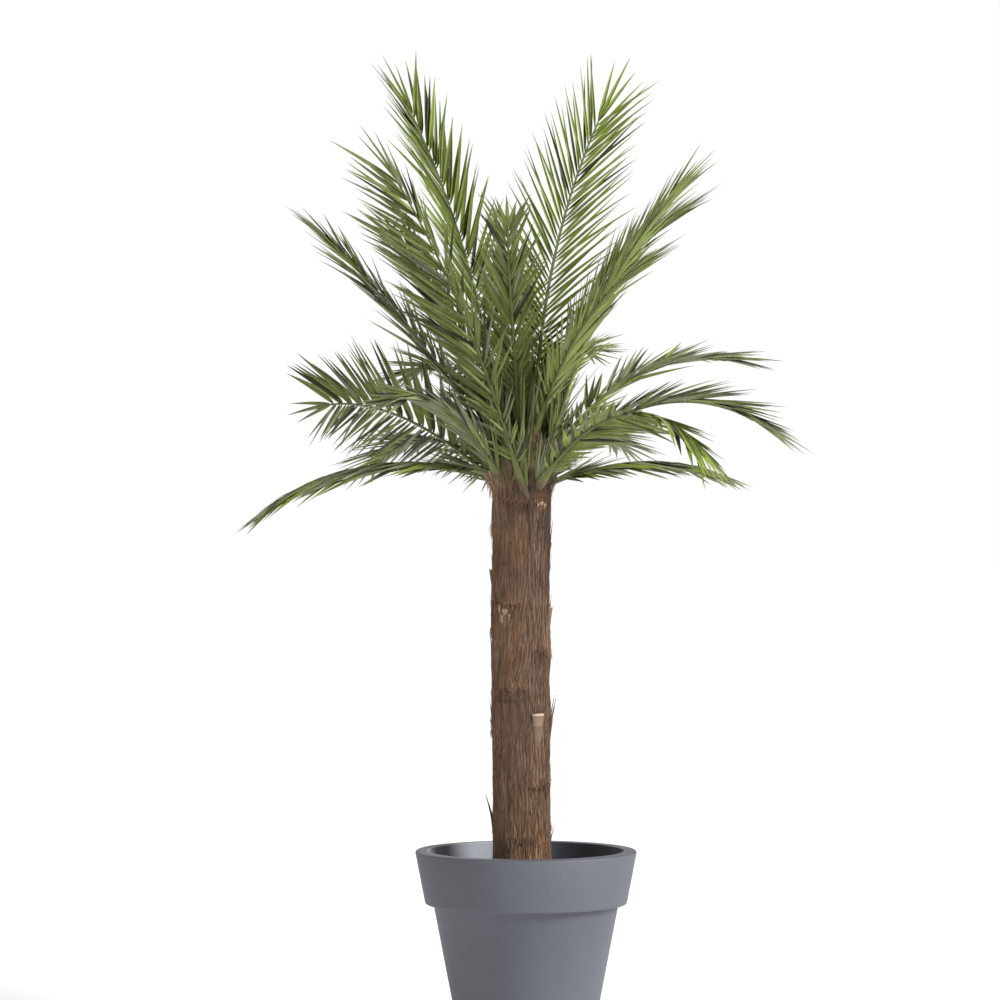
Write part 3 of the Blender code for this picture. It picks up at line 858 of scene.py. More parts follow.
PLAIN_TONE = 0.36
GOLDEN = Place(-116, 1.215, 44, 0.110, 0.58)  # coarse golden fibre, which leans
TORN = Place(-158, 1.718, 26, 0.034, 0.98, 0.010)  # the pale torn bulge under the lowest leaves
PLACES = [Place(*row) for row in (
    (-92, 1.512, 10, 0.050, 0.74),  # a warm torn patch beside the seam
    (-47, 1.630, 8, 0.012, 0.95, 0.002),
    (-50, 1.668, 17, 0.020, 0.70),
    # Painted shade: notches sunk under a sheath edge are given a dark tone.
    (-143, 1.352, 9, 0.020, -0.10, -0.005),  # dark notches under a sheath edge
    (-135, 1.322, 7, 0.011, 0.92, 0.003),  # pale flakes below it
    (-121, 1.315, 6, 0.009, 1.0, 0.003),
    (-129, 1.294, 11, 0.012, 0.84, 0.002),
    GOLDEN,
    # Painted shade: folds sunk under a sheath edge are given a dark tone.
    (-130, 1.084, 17, 0.008, 0.02, -0.004),  # folds
    (-120, 1.052, 20, 0.006, 0.10, -0.003),
    (-30, 1.250, 22, 0.120, 0.50, 0.004),
    (-60, 0.850, 11, 0.075, 0.54),
    (-50, 0.660, 26, 0.110, 0.64),
    (-34, 0.900, 25, 0.060, 0.44, 0.003),
    (-127, 0.725, 7, 0.075, 1.0),
    # Painted shade: a narrow sunk groove is given a dark tone.
    (-118, 0.750, 4, 0.050, 0.02, -0.003),
    (-128, 0.668, 6, 0.014, 1.05),
    (-100, 0.640, 18, 0.060, 0.56),
    (-68, 0.590, 60, 0.055, 0.80),
    # Painted light: the left of the foot, in the shade of the pot, is given a pale tone.
    (-158, 0.640, 40, 0.085, 1.05),
    TORN,
    # Painted shade: a sunk notch by the torn bulge is given a dark tone.
    (-168, 1.750, 9, 0.010, -0.20, -0.012),
    (-105, 1.700, 30, 0.045, 0.30),
    (-150, 1.610, 34, 0.060, 0.62),
    (-100, 1.790, 26, 0.060, 0.40),
    (-62, 1.800, 20, 0.060, 0.46),
)]
EDGES = [Edge(*row) for row in (
    (-132, 1.345, 52, 0.006, 0.010), (-118, 1.078, 48, 0.005, -0.012), (-22, 1.190, 46, 0.005, 0.014),
    (-175, 0.955, 40, 0.004, 0.010), (-38, 0.800, 44, 0.004, -0.012), (-95, 0.640, 34, 0.003, 0.008),
    (-80, 1.640, 60, 0.004, 0.010), (60, 1.440, 60, 0.006, 0.012), (150, 1.250, 50, 0.006, -0.010),
    (30, 0.990, 52, 0.006, 0.016), (110, 0.840, 56, 0.005, -0.014), (75, 1.170, 40, 0.005, 0.010),
    (175, 1.560, 50, 0.005, 0.012), (45, 0.660, 46, 0.004, 0.008),
)]
SEAM_HEADING, SEAM_FOOT, SEAM_TOP = -76.0, 1.47, 1.70


def far_side_places(count):
    dice = random.Random("far side")
    for _ in range(count):
        heading, height = dice.uniform(-15, 195), dice.uniform(0.56, 1.66)
        light = dice.choice((0.05, 0.55, 0.62, 0.70, 0.95))
        size = dice.uniform(6, 24)
        yield Place(heading, height, size, dice.uniform(0.015, 0.09), light, dice.uniform(-0.003, 0.004))


PLACES += far_side_places(26)
print(len(PLACES), "places and", len(EDGES), "sheath edges")

# %% [markdown]
# The relief is the sum of what those places do, of ridges of fibre that are noise drawn
# out along the stem, and of slow bulges. The same sums give each point its tone, how
# grey it is, how deep in a hollow it lies, how its fibres slant, and where they fray.
# Those numbers stay on the mesh for its finish and for the fibres laid on it.

# %% Relief
TRUNK_SIDES = 208
TRUNK_ROW = 0.00335
RIDGE, BUNDLE, BULGE = 0.0008, 0.0016, 0.0020
RIDGE_SIZE, BUNDLE_SIZE, BULGE_SIZE = (0.0045, 0.075), (0.011, 0.120), (0.060, 0.100)  # across, along
RAGGED_SIZE, ROUND_NOISE = (0.010, 0.1), 0.1  # of ragged edges, and the radius that noises are read at
MAT_SUNK = 0.0008  # the mat lies this far in, so that the fibres on it end at the solid's girth
LIP_FADE, GROOVE_FADE, GROOVE_SHARE = 0.07, 0.008, 0.4  # above a sheath edge, and below it
FRAY_ABOVE, FRAY_WIDTH = 0.006, 0.009
EDGE_BELOW, EDGE_ABOVE, EDGE_RAGGED = -0.03, 0.25, 0.012
# Grooves under sheath edges and hollows between ridges are darkened in the finish: painted shade.
EDGE_ENDS, GROOVE_PAINTED_SHADE = 2.5, 0.9  # how fast an edge dies away at its ends, and how dark its groove is
BUNDLE_LIGHT, BULGE_LIGHT, HOLLOW_SHARE = 0.08, 0.07, 0.55
BULGE_SLANT, GOLDEN_SLANT = 0.16, -0.34
ASH, ASH_END, ASH_LOW, ASH_HIGH = 0.45, -20.0, 1.28, 1.66  # the greyer part, from the seam round to its end
# Painted light: the half of the stem turned from the key lamp, round this heading, is made greyer and paler.
PAINTED_LIGHT_HEADING, PAINTED_LIGHT_ASH, PAINTED_LIGHT_TONE = math.radians(196.0), 0.9, 0.21
SEAM_LIP, SEAM_DEPTH = 0.0022, 0.0030
SEAM_SWAY, SEAM_WAVE = 1.5, 34.0  # degrees, and turns of its sway up the stem
# Painted shade: the side that faces the key lamp, this far round from the right towards the front, is
# darkened by this share.
SHADY_SIDE, SHADY = math.radians(25.0), 0.14


def turn_between(a, b):
    """The angle from b to a in degrees, between -180 and 180."""
    return (a - b + 180.0) % 360.0 - 180.0


def drawn_noise(x, y, z, across, along):
    return noise.noise(Vector((x / across, y / across, z / along)))


def place_share(place, heading, height, wobble):
    """1 at the middle of a place, fading to 0 round its ragged edge."""
    a = turn_between(heading, place.heading) / place.half_width
    b = (height - place.height) / place.half_height
    reach = a * a + b * b
    return math.exp(-reach * (1.0 + wobble)) if reach < 6.0 else 0.0


def edge_spot(edge, heading, height, ragged):
    """(how far out, hollow, fray) that a sheath edge adds to one point."""
    round_by = turn_between(heading, edge.heading)
    side = min((1.0 - abs(round_by) / edge.half_width) * EDGE_ENDS, 1.0)
    above = height - (edge.height - edge.slope * math.radians(round_by) + EDGE_RAGGED * ragged)
    if side <= 0.0 or not EDGE_BELOW < above < EDGE_ABOVE:
        return 0.0, 0.0, 0.0
    lip = math.exp(-above / LIP_FADE) if above > 0.0 else 0.0
    # The groove below the edge counts as hollow, which the finish darkens as painted shade.
    groove = math.exp(above / GROOVE_FADE) if above <= 0.0 else 0.0
    out = side * (edge.out * lip - GROOVE_SHARE * edge.out * groove)
    return out, side * groove * GROOVE_PAINTED_SHADE, side * bell(above, FRAY_ABOVE, FRAY_WIDTH)


def seam_spot(heading, height):
    """(how far out, hollow) that the seam down the front adds to one point."""
    if not SEAM_FOOT < height < SEAM_TOP:
        return 0.0, 0.0
    across = turn_between(heading, SEAM_HEADING + SEAM_SWAY * math.sin(height * SEAM_WAVE))
    fade = rising(height, SEAM_FOOT, length=0.05) * falling(height, SEAM_TOP, length=0.04)
    # The seam's groove counts as hollow too, darkened as painted shade.
    out = SEAM_LIP * bell(across, -5.0, width=4.0) - SEAM_DEPTH * bell(across, 0.0, width=1.8)
    return fade * out, fade * bell(across, 0.0, width=1.5)


def trunk_spot(heading, height):
    """(how far out, tone, ash, hollow, slant, fray) of one point of the stem."""
    turn = math.radians(heading)
    x, y = math.cos(turn) * ROUND_NOISE, math.sin(turn) * ROUND_NOISE
    ridge = drawn_noise(x, y, height, *RIDGE_SIZE)
    bundle = drawn_noise(x, y, height + 3.0, *BUNDLE_SIZE)
    bulge = drawn_noise(x, y, height + 7.0, *BULGE_SIZE)
    ragged = drawn_noise(x, y, height * 0.3 + 9.0, *RAGGED_SIZE)
    out = RIDGE * ridge + BUNDLE * bundle + BULGE * bulge - MAT_SUNK
    light = PLAIN_TONE + BUNDLE_LIGHT * bundle + BULGE_LIGHT * bulge
    # Painted shade on the side that faces the key lamp.
    light -= SHADY * max(math.cos(turn + SHADY_SIDE), 0.0)
    # Painted shade in the dips between ridges of fibre.
    hollow = min(max(-(ridge + bundle) * HOLLOW_SHARE, 0.0), 1.0)
    fray = 0.0
    for edge in EDGES:
        edge_out, edge_hollow, edge_fray = edge_spot(edge, heading, height, ragged)
        out += edge_out
        hollow = min(hollow + edge_hollow, 1.0)
        fray = max(fray, edge_fray)
    for place in PLACES:
        share = place_share(place, heading, height, 0.8 * ragged)
        light += (place.tone - PLAIN_TONE) * share
        out += place.out * share
    seam_out, seam_hollow = seam_spot(heading, height)
    ash = ASH * (rising(heading, SEAM_HEADING, length=6.0) * falling(heading, ASH_END, length=25.0))
    ash *= rising(height, ASH_LOW, length=0.10) * falling(height, ASH_HIGH, length=0.05)
    # Painted light on the half turned from the key lamp; the grey near the seam is the fibre's own.
    painted_light = rising(math.cos(turn - PAINTED_LIGHT_HEADING), 0.05, length=0.95)
    ash = max(ash, PAINTED_LIGHT_ASH * painted_light)
    fray = max(fray, 0.8 * place_share(TORN, heading, height, wobble=0.0))
    slant = BULGE_SLANT * bulge + GOLDEN_SLANT * place_share(GOLDEN, heading, height, wobble=0.0)
    return out + seam_out, light + PAINTED_LIGHT_TONE * painted_light, ash, max(hollow, seam_hollow), slant, fray


def trunk_point(heading, height, out):
    turn, radius = math.radians(heading), max(trunk_radius(height) + out, 0.0)
    return (trunk_axis_x(height) + radius * math.cos(turn), radius * math.sin(turn), height)


# %% [markdown]
# The finish lays four browns along the tone, from dark brown to straw, and streaks of fibre
# run through them. Hollows are darkened, as painted shade, part of the front is greyer, the
# half turned from the key lamp is paler and greyer, as painted light, and the head, where the
# sheaths are young, is olive.

# %% Fibre finish
FIBRE_BROWNS = {
    "fibre_dark": (0.108, 0.064, 0.041),
    "fibre_brown": (0.165, 0.099, 0.063),
    "fibre_rust": (0.225, 0.114, 0.056),
    "fibre_straw": (0.350, 0.230, 0.140),
}
FIBRE_STOPS = (0.04, 0.36, 0.64, 0.95)  # where each brown lies along the tone
FINE_STREAKS, BROAD_STREAKS = {"Across": 240.0, "Along": 16.0}, {"Across": 85.0, "Along": 7.0}
FINE_SHARE, BROAD_SHARE, STREAK_HEIGHT = 0.12, 0.18, 0.0017
FIBRE_ASH, ASH_SHARE = (0.215, 0.158, 0.116), 0.80
SHEATH_OLIVE, OLIVE_SHARE, HOLLOW_PAINTED_SHADE = (0.138, 0.118, 0.050), 0.75, 0.6
SHEATH_FOOT, SHEATH_FADE = 1.69, 0.08  # the mat turns olive above this height, over this far
STRAW_FROM, STRAW_FADE = 0.85, 0.25  # but no longer where its tone is this light


def attribute_value(tree, label):
    return add_node(tree, "ShaderNodeAttribute", attribute_name=label).outputs["Fac"]


def fibre_ramp(tree, share):
    """The four browns along a value."""
    ramp = add_node(tree, "ShaderNodeValToRGB", {"Fac": share})
    stops, browns = ramp.color_ramp.elements, list(FIBRE_BROWNS.values())
    for stop, index in ((stops[0], 0), (stops[1], 3)):
        stop.position, stop.color = FIBRE_STOPS[index], tone(browns[index])
    for index in (1, 2):
        stops.new(FIBRE_STOPS[index]).color = tone(browns[index])
    return ramp.outputs["Color"]


def fibre_finish():
    material, tree, shader, place = new_finish("palm_fibre_mat", roughness=0.92)
    where, light = place.outputs["Object"], attribute_value(tree, "tone")
    fine, broad = [
        maths(tree, "MULTIPLY", add_group(tree, STREAKS, {"Vector": where, **streaks})["Value"], share)
        for streaks, share in ((FINE_STREAKS, FINE_SHARE), (BROAD_STREAKS, BROAD_SHARE))
    ]
    both = maths(tree, "ADD", fine, broad)
    even = maths(tree, "SUBTRACT", both, (FINE_SHARE + BROAD_SHARE) / 2)
    browns = fibre_ramp(tree, maths(tree, "ADD", light, even))
    grey_share = maths(tree, "MULTIPLY", attribute_value(tree, "ash"), ASH_SHARE)
    grey = mixed(tree, grey_share, browns, tone(FIBRE_ASH))
    height = add_node(tree, "ShaderNodeSeparateXYZ", {0: where}).outputs["Z"]
    on_head = mapped_range(tree, height, SHEATH_FOOT, SHEATH_FOOT + SHEATH_FADE)
    brown = mapped_range(tree, light, STRAW_FROM, STRAW_FROM - STRAW_FADE)
    young = maths(tree, "MULTIPLY", maths(tree, "MULTIPLY", on_head, OLIVE_SHARE), brown)
    olive = mixed(tree, young, grey, tone(SHEATH_OLIVE))
    # Painted shade in hollows, grooves and the seam.
    deep = maths(tree, "MULTIPLY", attribute_value(tree, "hollow"), HOLLOW_PAINTED_SHADE)
    colour = mixed(tree, deep, olive, tone(FIBRE_BROWNS["fibre_dark"], 0.5))
    feed(tree, shader.inputs["Base Color"], colour)
    add_bump(tree, shader, both, STREAK_HEIGHT)
    return material


# %% Trunk mesh
HEAD_CLOSING = 0.06  # the relief dies away over this height below the top
HEAD_TIP = 0.003  # the middle of the top stands this much higher


def make_trunk():
    """The mat, and the tone of each of its points."""
    rows = int((trunk_high.z - TRUNK_FOOT) / TRUNK_ROW)
    heights = [lerp(TRUNK_FOOT, trunk_high.z, row / rows) for row in range(rows + 1)]
    headings = [360.0 * side / TRUNK_SIDES - 180.0 for side in range(TRUNK_SIDES)]
    points, spots = [], []
    for height in heights:
        closing = min((HEAD_TOP - height) / HEAD_CLOSING, 1.0)
        for heading in headings:
            spot = trunk_spot(heading, height)
            spots.append(spot)
            points.append(trunk_point(heading, height, spot[0] * closing))
    points.append((trunk_axis_x(TRUNK_FOOT), 0.0, TRUNK_FOOT))
    points.append((trunk_axis_x(HEAD_TOP), 0.0, trunk_high.z + HEAD_TIP))
    spots += [spots[0], spots[-1]]
    faces = []
    top, last = len(points) - 1, rows * TRUNK_SIDES
    for side in range(TRUNK_SIDES):
        step = (side + 1) % TRUNK_SIDES
        faces.append((side, top - 1, step))
        faces.append((last + side, last + step, top))
        for row in range(rows):
            a, b = row * TRUNK_SIDES, (row + 1) * TRUNK_SIDES
            faces.append((a + side, a + step, b + step, b + side))
    obj = closed_piece("trunk_fibre_mat", points, faces, [fibre_finish()])
    for label, column in (("tone", 1), ("ash", 2), ("hollow", 3), ("slant", 4), ("fray", 5)):
        store(obj, label, [spot[column] for spot in spots])
    return obj, np.array([spot[1] for spot in spots])


trunk, trunk_tones = make_trunk()
dress(trunk, "trunk", "trunk")

# %% [markdown]
# ## Fibres on the trunk
# Loose fibres lie over the mat, nearly upright, and some lift off it. They follow the
# surface in their thousands, so the scatter tree lays them. A fibre is a thin prism of
# three sides. Its length is one unit and its thickness is counted in its own widths, so
# that each copy can be long and thin.


# %% Fibre shapes
FIBRE_GIRTHS = (0.6, 1.0, 1.0, 0.85, 0.2)
LYING_FIBRES = (  # how far each lies off the surface, step by step, and how far it sways
    ((-1.2, 0.7, 0.9, 0.6, -1.0), (0.0, 0.8, 0.2, -0.8, -0.4)),
    ((-1.0, 0.8, 1.3, 1.0, -0.6), (0.0, -1.2, -0.6, 0.9, 1.8)),
    ((-1.2, 0.6, 1.2, 2.4, 4.6), (0.0, 0.6, 1.4, 1.0, -0.4)),
    ((-1.0, 1.2, 1.6, 0.8, -1.0), (0.0, 2.0, 2.6, 1.6, 0.0)),
)
FRAYED_FIBRES = (
    ((-1.5, 0.5, 2.0, 4.5, 8.0), (0.0, 0.8, 2.0, 3.0, 3.4)),
    ((-1.5, 0.8, 2.4, 3.6, 4.0), (0.0, -1.0, -1.6, -3.2, -5.0)),
    ((-1.5, 1.2, 3.4, 6.5, 10.5), (0.0, 0.2, -0.8, -1.0, 0.6)),
)


def fibre_shapes(stem, fibres):
    shapes = []
    for number, (lifts, sways) in enumerate(fibres):
        points = []
        for i, girth in enumerate(FIBRE_GIRTHS):
            for corner in range(3):
                turn = math.tau * corner / 3
                x = lifts[i] + girth * 0.7 * math.cos(turn)
                points.append((x, sways[i] + girth * math.sin(turn), i / 4 - 0.5))
        faces = tube_faces(0, len(FIBRE_GIRTHS), 3)
        shapes.append(closed_piece(f"{stem}_{number + 1}", points, faces, []))
    return shapes


# %% Fibre coat and frayed edges
SHEATH_COLOURS = {
    "sheath_1": (0.092, 0.066, 0.034),
    "sheath_2": (0.138, 0.116, 0.050),
    "sheath_3": (0.172, 0.162, 0.058),
    "sheath_4": (0.225, 0.212, 0.100),
}
COAT_END, COAT_FADE = 0.012, 0.02  # the coat thins out this far below the top, over this far
COAT_THINS = 0.7  # share of the fibres that give way to sheaths on the head
FRAYED_LIGHTER = 0.22

fibre_finishes = plain_finishes(FIBRE_BROWNS, roughness=0.85, drift=0.14, scale=25.0)
sheath_finishes = plain_finishes(SHEATH_COLOURS, roughness=0.7, drift=0.2, scale=40.0)
heights = np.array([v.co.z for v in trunk.data.vertices])
headway = ease((heights - SHEATH_FOOT) / SHEATH_FADE)
below_top = np.clip((HEAD_TOP - COAT_END - heights) / COAT_FADE, 0.0, 1.0)
brown = np.clip((STRAW_FROM - trunk_tones) / STRAW_FADE, 0.0, 1.0)
store(trunk, "where", below_top * (1.0 - COAT_THINS * headway))
store(trunk, "where_sheath", below_top * headway * brown)

# The fibres take their browns from the mat's tone, with its painted light and painted shade.
fibre_coat = scatter(
    "trunk_fibres", trunk, fibre_shapes("fibre", LYING_FIBRES), fibre_finishes, least_gap=0.0102,
    spread=0.13, tilt=0.012, shortest=0.045, longest=0.125, width=0.00095, mixing=0.14, seed=21,
)
dress(fibre_coat, "trunk")

# Young sheaths on the head split into strips, olive where the fibre below them is brown.
sheath_strips = scatter(
    "sheath_strips", trunk, fibre_shapes("strip", LYING_FIBRES), sheath_finishes, where="where_sheath",
    least_gap=0.0085, spread=0.30, tilt=0.03, shortest=0.04, longest=0.10, width=0.0017, mixing=0.42,
    seed=44,
)
dress(sheath_strips, "trunk")

store(trunk, "frayed_tone", trunk_tones + FRAYED_LIGHTER)
frayed_edges = scatter(
    "frayed_sheath_edges", trunk, fibre_shapes("frayed", FRAYED_FIBRES), fibre_finishes, where="fray",
    tone="frayed_tone", least_gap=0.0042, run=(0.0, 0.0, -1.0), spread=0.55, tilt=0.10, shortest=0.022,
    longest=0.055, width=0.0008, mixing=0.22, seed=33,
)
dress(frayed_edges, "trunk")

# %% [markdown]
# ## Cut leaf bases and stray hairs
# Where an old leaf was sawn off, a flat stub of its base is left, pale on the cut and
# browner below, pressed to the stem. Small pale flakes are torn from the sheaths, and a few
# long hairs stand away from the mat. Each of them has its place, so they are told in two
# short lists, with more by seeded chance on the sides that face away.


# %% Stubs
class Stub(NamedTuple):
    heading: float
    top: float
    width: float = 0.038
    length: float = 0.100
    pale: int = 0  # how many of the darker tones it lacks


STUBS = [Stub(*row) for row in (
    (-54, 1.011, 0.043), (-6, 1.330, 0.034, 0.08), (38, 0.840), (66, 1.285, 0.040, 0.09),
    (104, 1.050, 0.036, 0.09), (141, 0.720), (168, 1.440, 0.036, 0.08), (20, 1.520, 0.032, 0.07),
    # and the torn pale flakes
    (-137, 1.335, 0.013, 0.022, 3), (-123, 1.323, 0.022, 0.016, 3), (-130, 1.306, 0.012, 0.030, 2),
    (-114, 1.308, 0.008, 0.026, 2), (-57, 1.638, 0.009, 0.032, 1), (-49, 1.643, 0.013, 0.028, 1),
    (-40, 1.637, 0.010, 0.036, 1), (72, 0.98, 0.020, 0.030, 2), (118, 1.38, 0.016, 0.026, 3),
    (-176, 1.748, 0.013, 0.034, 2), (-163, 1.757, 0.010, 0.030, 3), (-152, 1.735, 0.012, 0.036, 2),
    (-168, 1.722, 0.009, 0.030, 3), (-158, 1.708, 0.011, 0.026, 2), (-141, 1.716, 0.008, 0.030, 2),
)]
STUB_STEPS, STUB_SIDES = 9, 12
STUB_FULL_WIDTH = 0.038  # a narrower one is as much thinner
STUB_TAPER = 0.55
STUB_THICK, STUB_THIN = 0.0085, 0.0025
STUB_STANDS, STUB_SINKS = 0.0045, -0.0015
STUB_NICK, STUB_SLANT = 0.0012, 0.003
STUB_TONES = {
    "cut_face": (0.50, 0.39, 0.28),
    "stub_pale": (0.215, 0.140, 0.090),
    "stub_tan": (0.152, 0.094, 0.058),
    "stub_brown": (0.120, 0.074, 0.047),
    "torn_flake": (0.37, 0.26, 0.17),
}


def stub_points(stub):
    """One stub: a flat tongue, thick at its cut and thinning into the mat below."""
    turn = math.radians(stub.heading)
    out, across = Vector((math.cos(turn), math.sin(turn), 0)), Vector((-math.sin(turn), math.cos(turn), 0))
    size = min(stub.width / STUB_FULL_WIDTH, 1.0)
    for step in range(STUB_STEPS):
        down = (step / (STUB_STEPS - 1)) ** 1.5
        height = stub.top - stub.length * down
        half = stub.width / 2 * lerp(1.0, STUB_TAPER, down)
        thick = lerp(STUB_THICK, STUB_THIN, down**0.7) * size
        relief = trunk_spot(stub.heading, height)[0] + MAT_SUNK
        stand = trunk_radius(height) + relief + lerp(STUB_STANDS * size, STUB_SINKS, down)
        middle = Vector((trunk_axis_x(height), 0, height)) + out * stand
        for side in range(STUB_SIDES):
            a = math.tau * side / STUB_SIDES
            bow = (math.cos(a) ** 2) * half * half / (2 * TRUNK_RADIUS)
            nick = STUB_NICK * noise.noise(Vector((side * 0.9, down * 5.0, stub.heading)))
            slant = STUB_SLANT * math.sin(a) if step == 0 else 0.0
            reach = across * (half * math.cos(a)) + out * (thick * math.sin(a) + nick - bow)
            yield middle + reach + Vector((0, 0, slant))


def stub_shades(stub):
    """The tone of each face: four down the tongue, less those that it lacks, and its two ends."""
    cut = 4 if stub.pale else 0
    for step in range(STUB_STEPS - 1):
        shade = max(min((step + 2) // 3, 3) - stub.pale, 0)
        yield from [cut if shade == 0 else shade] * STUB_SIDES
    yield from (cut, 3)


def make_stubs():
    points, faces, shades = [], [], []
    for stub in STUBS:
        first = len(points)
        end = first + (STUB_STEPS - 1) * STUB_SIDES
        points += stub_points(stub)
        faces += tube_sides(first, STUB_STEPS, STUB_SIDES)
        faces += [tuple(range(first, first + STUB_SIDES)), tuple(range(end, end + STUB_SIDES))[::-1]]
        shades += stub_shades(stub)
    finishes = plain_finishes(STUB_TONES, roughness=0.8, drift=0.2, scale=180.0)
    return closed_piece("cut_leaf_bases", points, faces, finishes, shades, crease=40)


dress(make_stubs(), "trunk")


# %% Stray hairs
class Hair(NamedTuple):
    heading: float
    height: float  # of its root
    rise: float  # how much higher its tip is
    away: float  # how far its tip stands off the stem
    bend: float = 0.0  # degrees that it leans round the stem
    thick: float = 0.0011
    broad: float = 0.0  # half its breadth, for a torn flake of sheath


HAIRS = [Hair(*row) for row in (
    (-4, 0.900, 0.175, 0.026, 3, 0.0013, 0.0045), (-8, 0.905, 0.205, 0.014),
    (2, 0.915, 0.120, 0.020, 0, 0.0011, 0.0032), (176, 0.945, 0.115, 0.010, 0, 0.0013, 0.0036),
    (-177, 0.93, 0.07, 0.010), (-176, 0.650, 0.125, 0.026, -3, 0.0015, 0.0060),
    (-2, 0.930, 0.150, 0.021, 0, 0.0012, 0.0036), (-6, 0.880, 0.110, 0.012, 0, 0.0012, 0.0034),
    (178, 0.665, 0.075, 0.013, 0, 0.0012), (-2, 0.605, 0.070, 0.015, 0, 0.0011, 0.0035),
    (3, 0.640, 0.035, 0.013), (-178, 1.135, 0.120, 0.008, 0, 0.0011, 0.0034),
    (-3, 1.46, 0.13, 0.009, 0, 0.0013, 0.0036), (180, 1.52, 0.06, 0.008),
    (1, 1.235, 0.140, 0.008, 0, 0.0012, 0.0038), (-5, 1.185, 0.09, 0.010),
)]
HAIR_STEPS, HAIR_SIDES = 7, 4
HAIR_SUNK = -0.002


def chance_hairs(count):
    dice = random.Random("hairs")
    for _ in range(count):
        heading, height = dice.uniform(-180, 180), dice.uniform(0.56, 1.60)
        rise, away = dice.uniform(0.03, 0.10), dice.uniform(0.002, 0.009)
        yield Hair(heading, height, rise, away, dice.uniform(-14, 14), dice.uniform(0.0006, 0.0010))


def hair_points(hair):
    for step in range(HAIR_STEPS):
        up = step / (HAIR_STEPS - 1)
        height = hair.height + hair.rise * up
        turn = math.radians(hair.heading + hair.bend * up)
        stand = trunk_radius(height) + lerp(HAIR_SUNK, hair.away, up**1.6)
        middle = Vector((trunk_axis_x(height) + stand * math.cos(turn), stand * math.sin(turn), height))
        left = lerp(1.0, 0.25, up)
        broad = max(hair.broad * (1.0 - up) ** 0.8, hair.thick * left)
        for side in range(HAIR_SIDES):
            a = math.tau * side / HAIR_SIDES
            out, along = broad * math.cos(a), hair.thick * left * math.sin(a)
            x = math.cos(turn) * out - math.sin(turn) * along
            y = math.sin(turn) * out + math.cos(turn) * along
            yield middle + Vector((x, y, 0))


def make_hairs():
    points, faces = [], []
    for hair in (*HAIRS, *chance_hairs(150)):
        faces += tube_faces(len(points), HAIR_STEPS, HAIR_SIDES)
        points += hair_points(hair)
    return closed_piece("stray_hairs", points, faces, [fibre_finishes[0]])


dress(make_hairs(), "trunk")

# %% [markdown]
# ## Where the fronds grow, by the source's rule
# Each frond has a rib that leaves the crown head, rises, arches over and may swing to one
# side. Twenty-two of them are told by the same numbers as the solids: the way they face,
# their slope at foot and tip, their length, where they sit, how the blade is rolled, how
# far its leaflets are lifted and how long the longest is. The last numbers are only for
# looks: the blade's green, how much its leaflets sag, how broad they are, how far they
# stray from an even comb, and which row of them, if any, is thin and dark.


# %% The fronds
class Frond(NamedTuple):
    heading: float
    swing: float
    rise: float
    dip: float
    length: float
    seat: float
    foot: float | None = None
    roll: float = 0.0
    lift: float = 10.0
    leaf: float = 0.26
    spread: float = 1.0
    green: int = 1
    sag: float = 0.05
    girth: float = 1.0
    stray: float = 1.0
    thin: int = 0


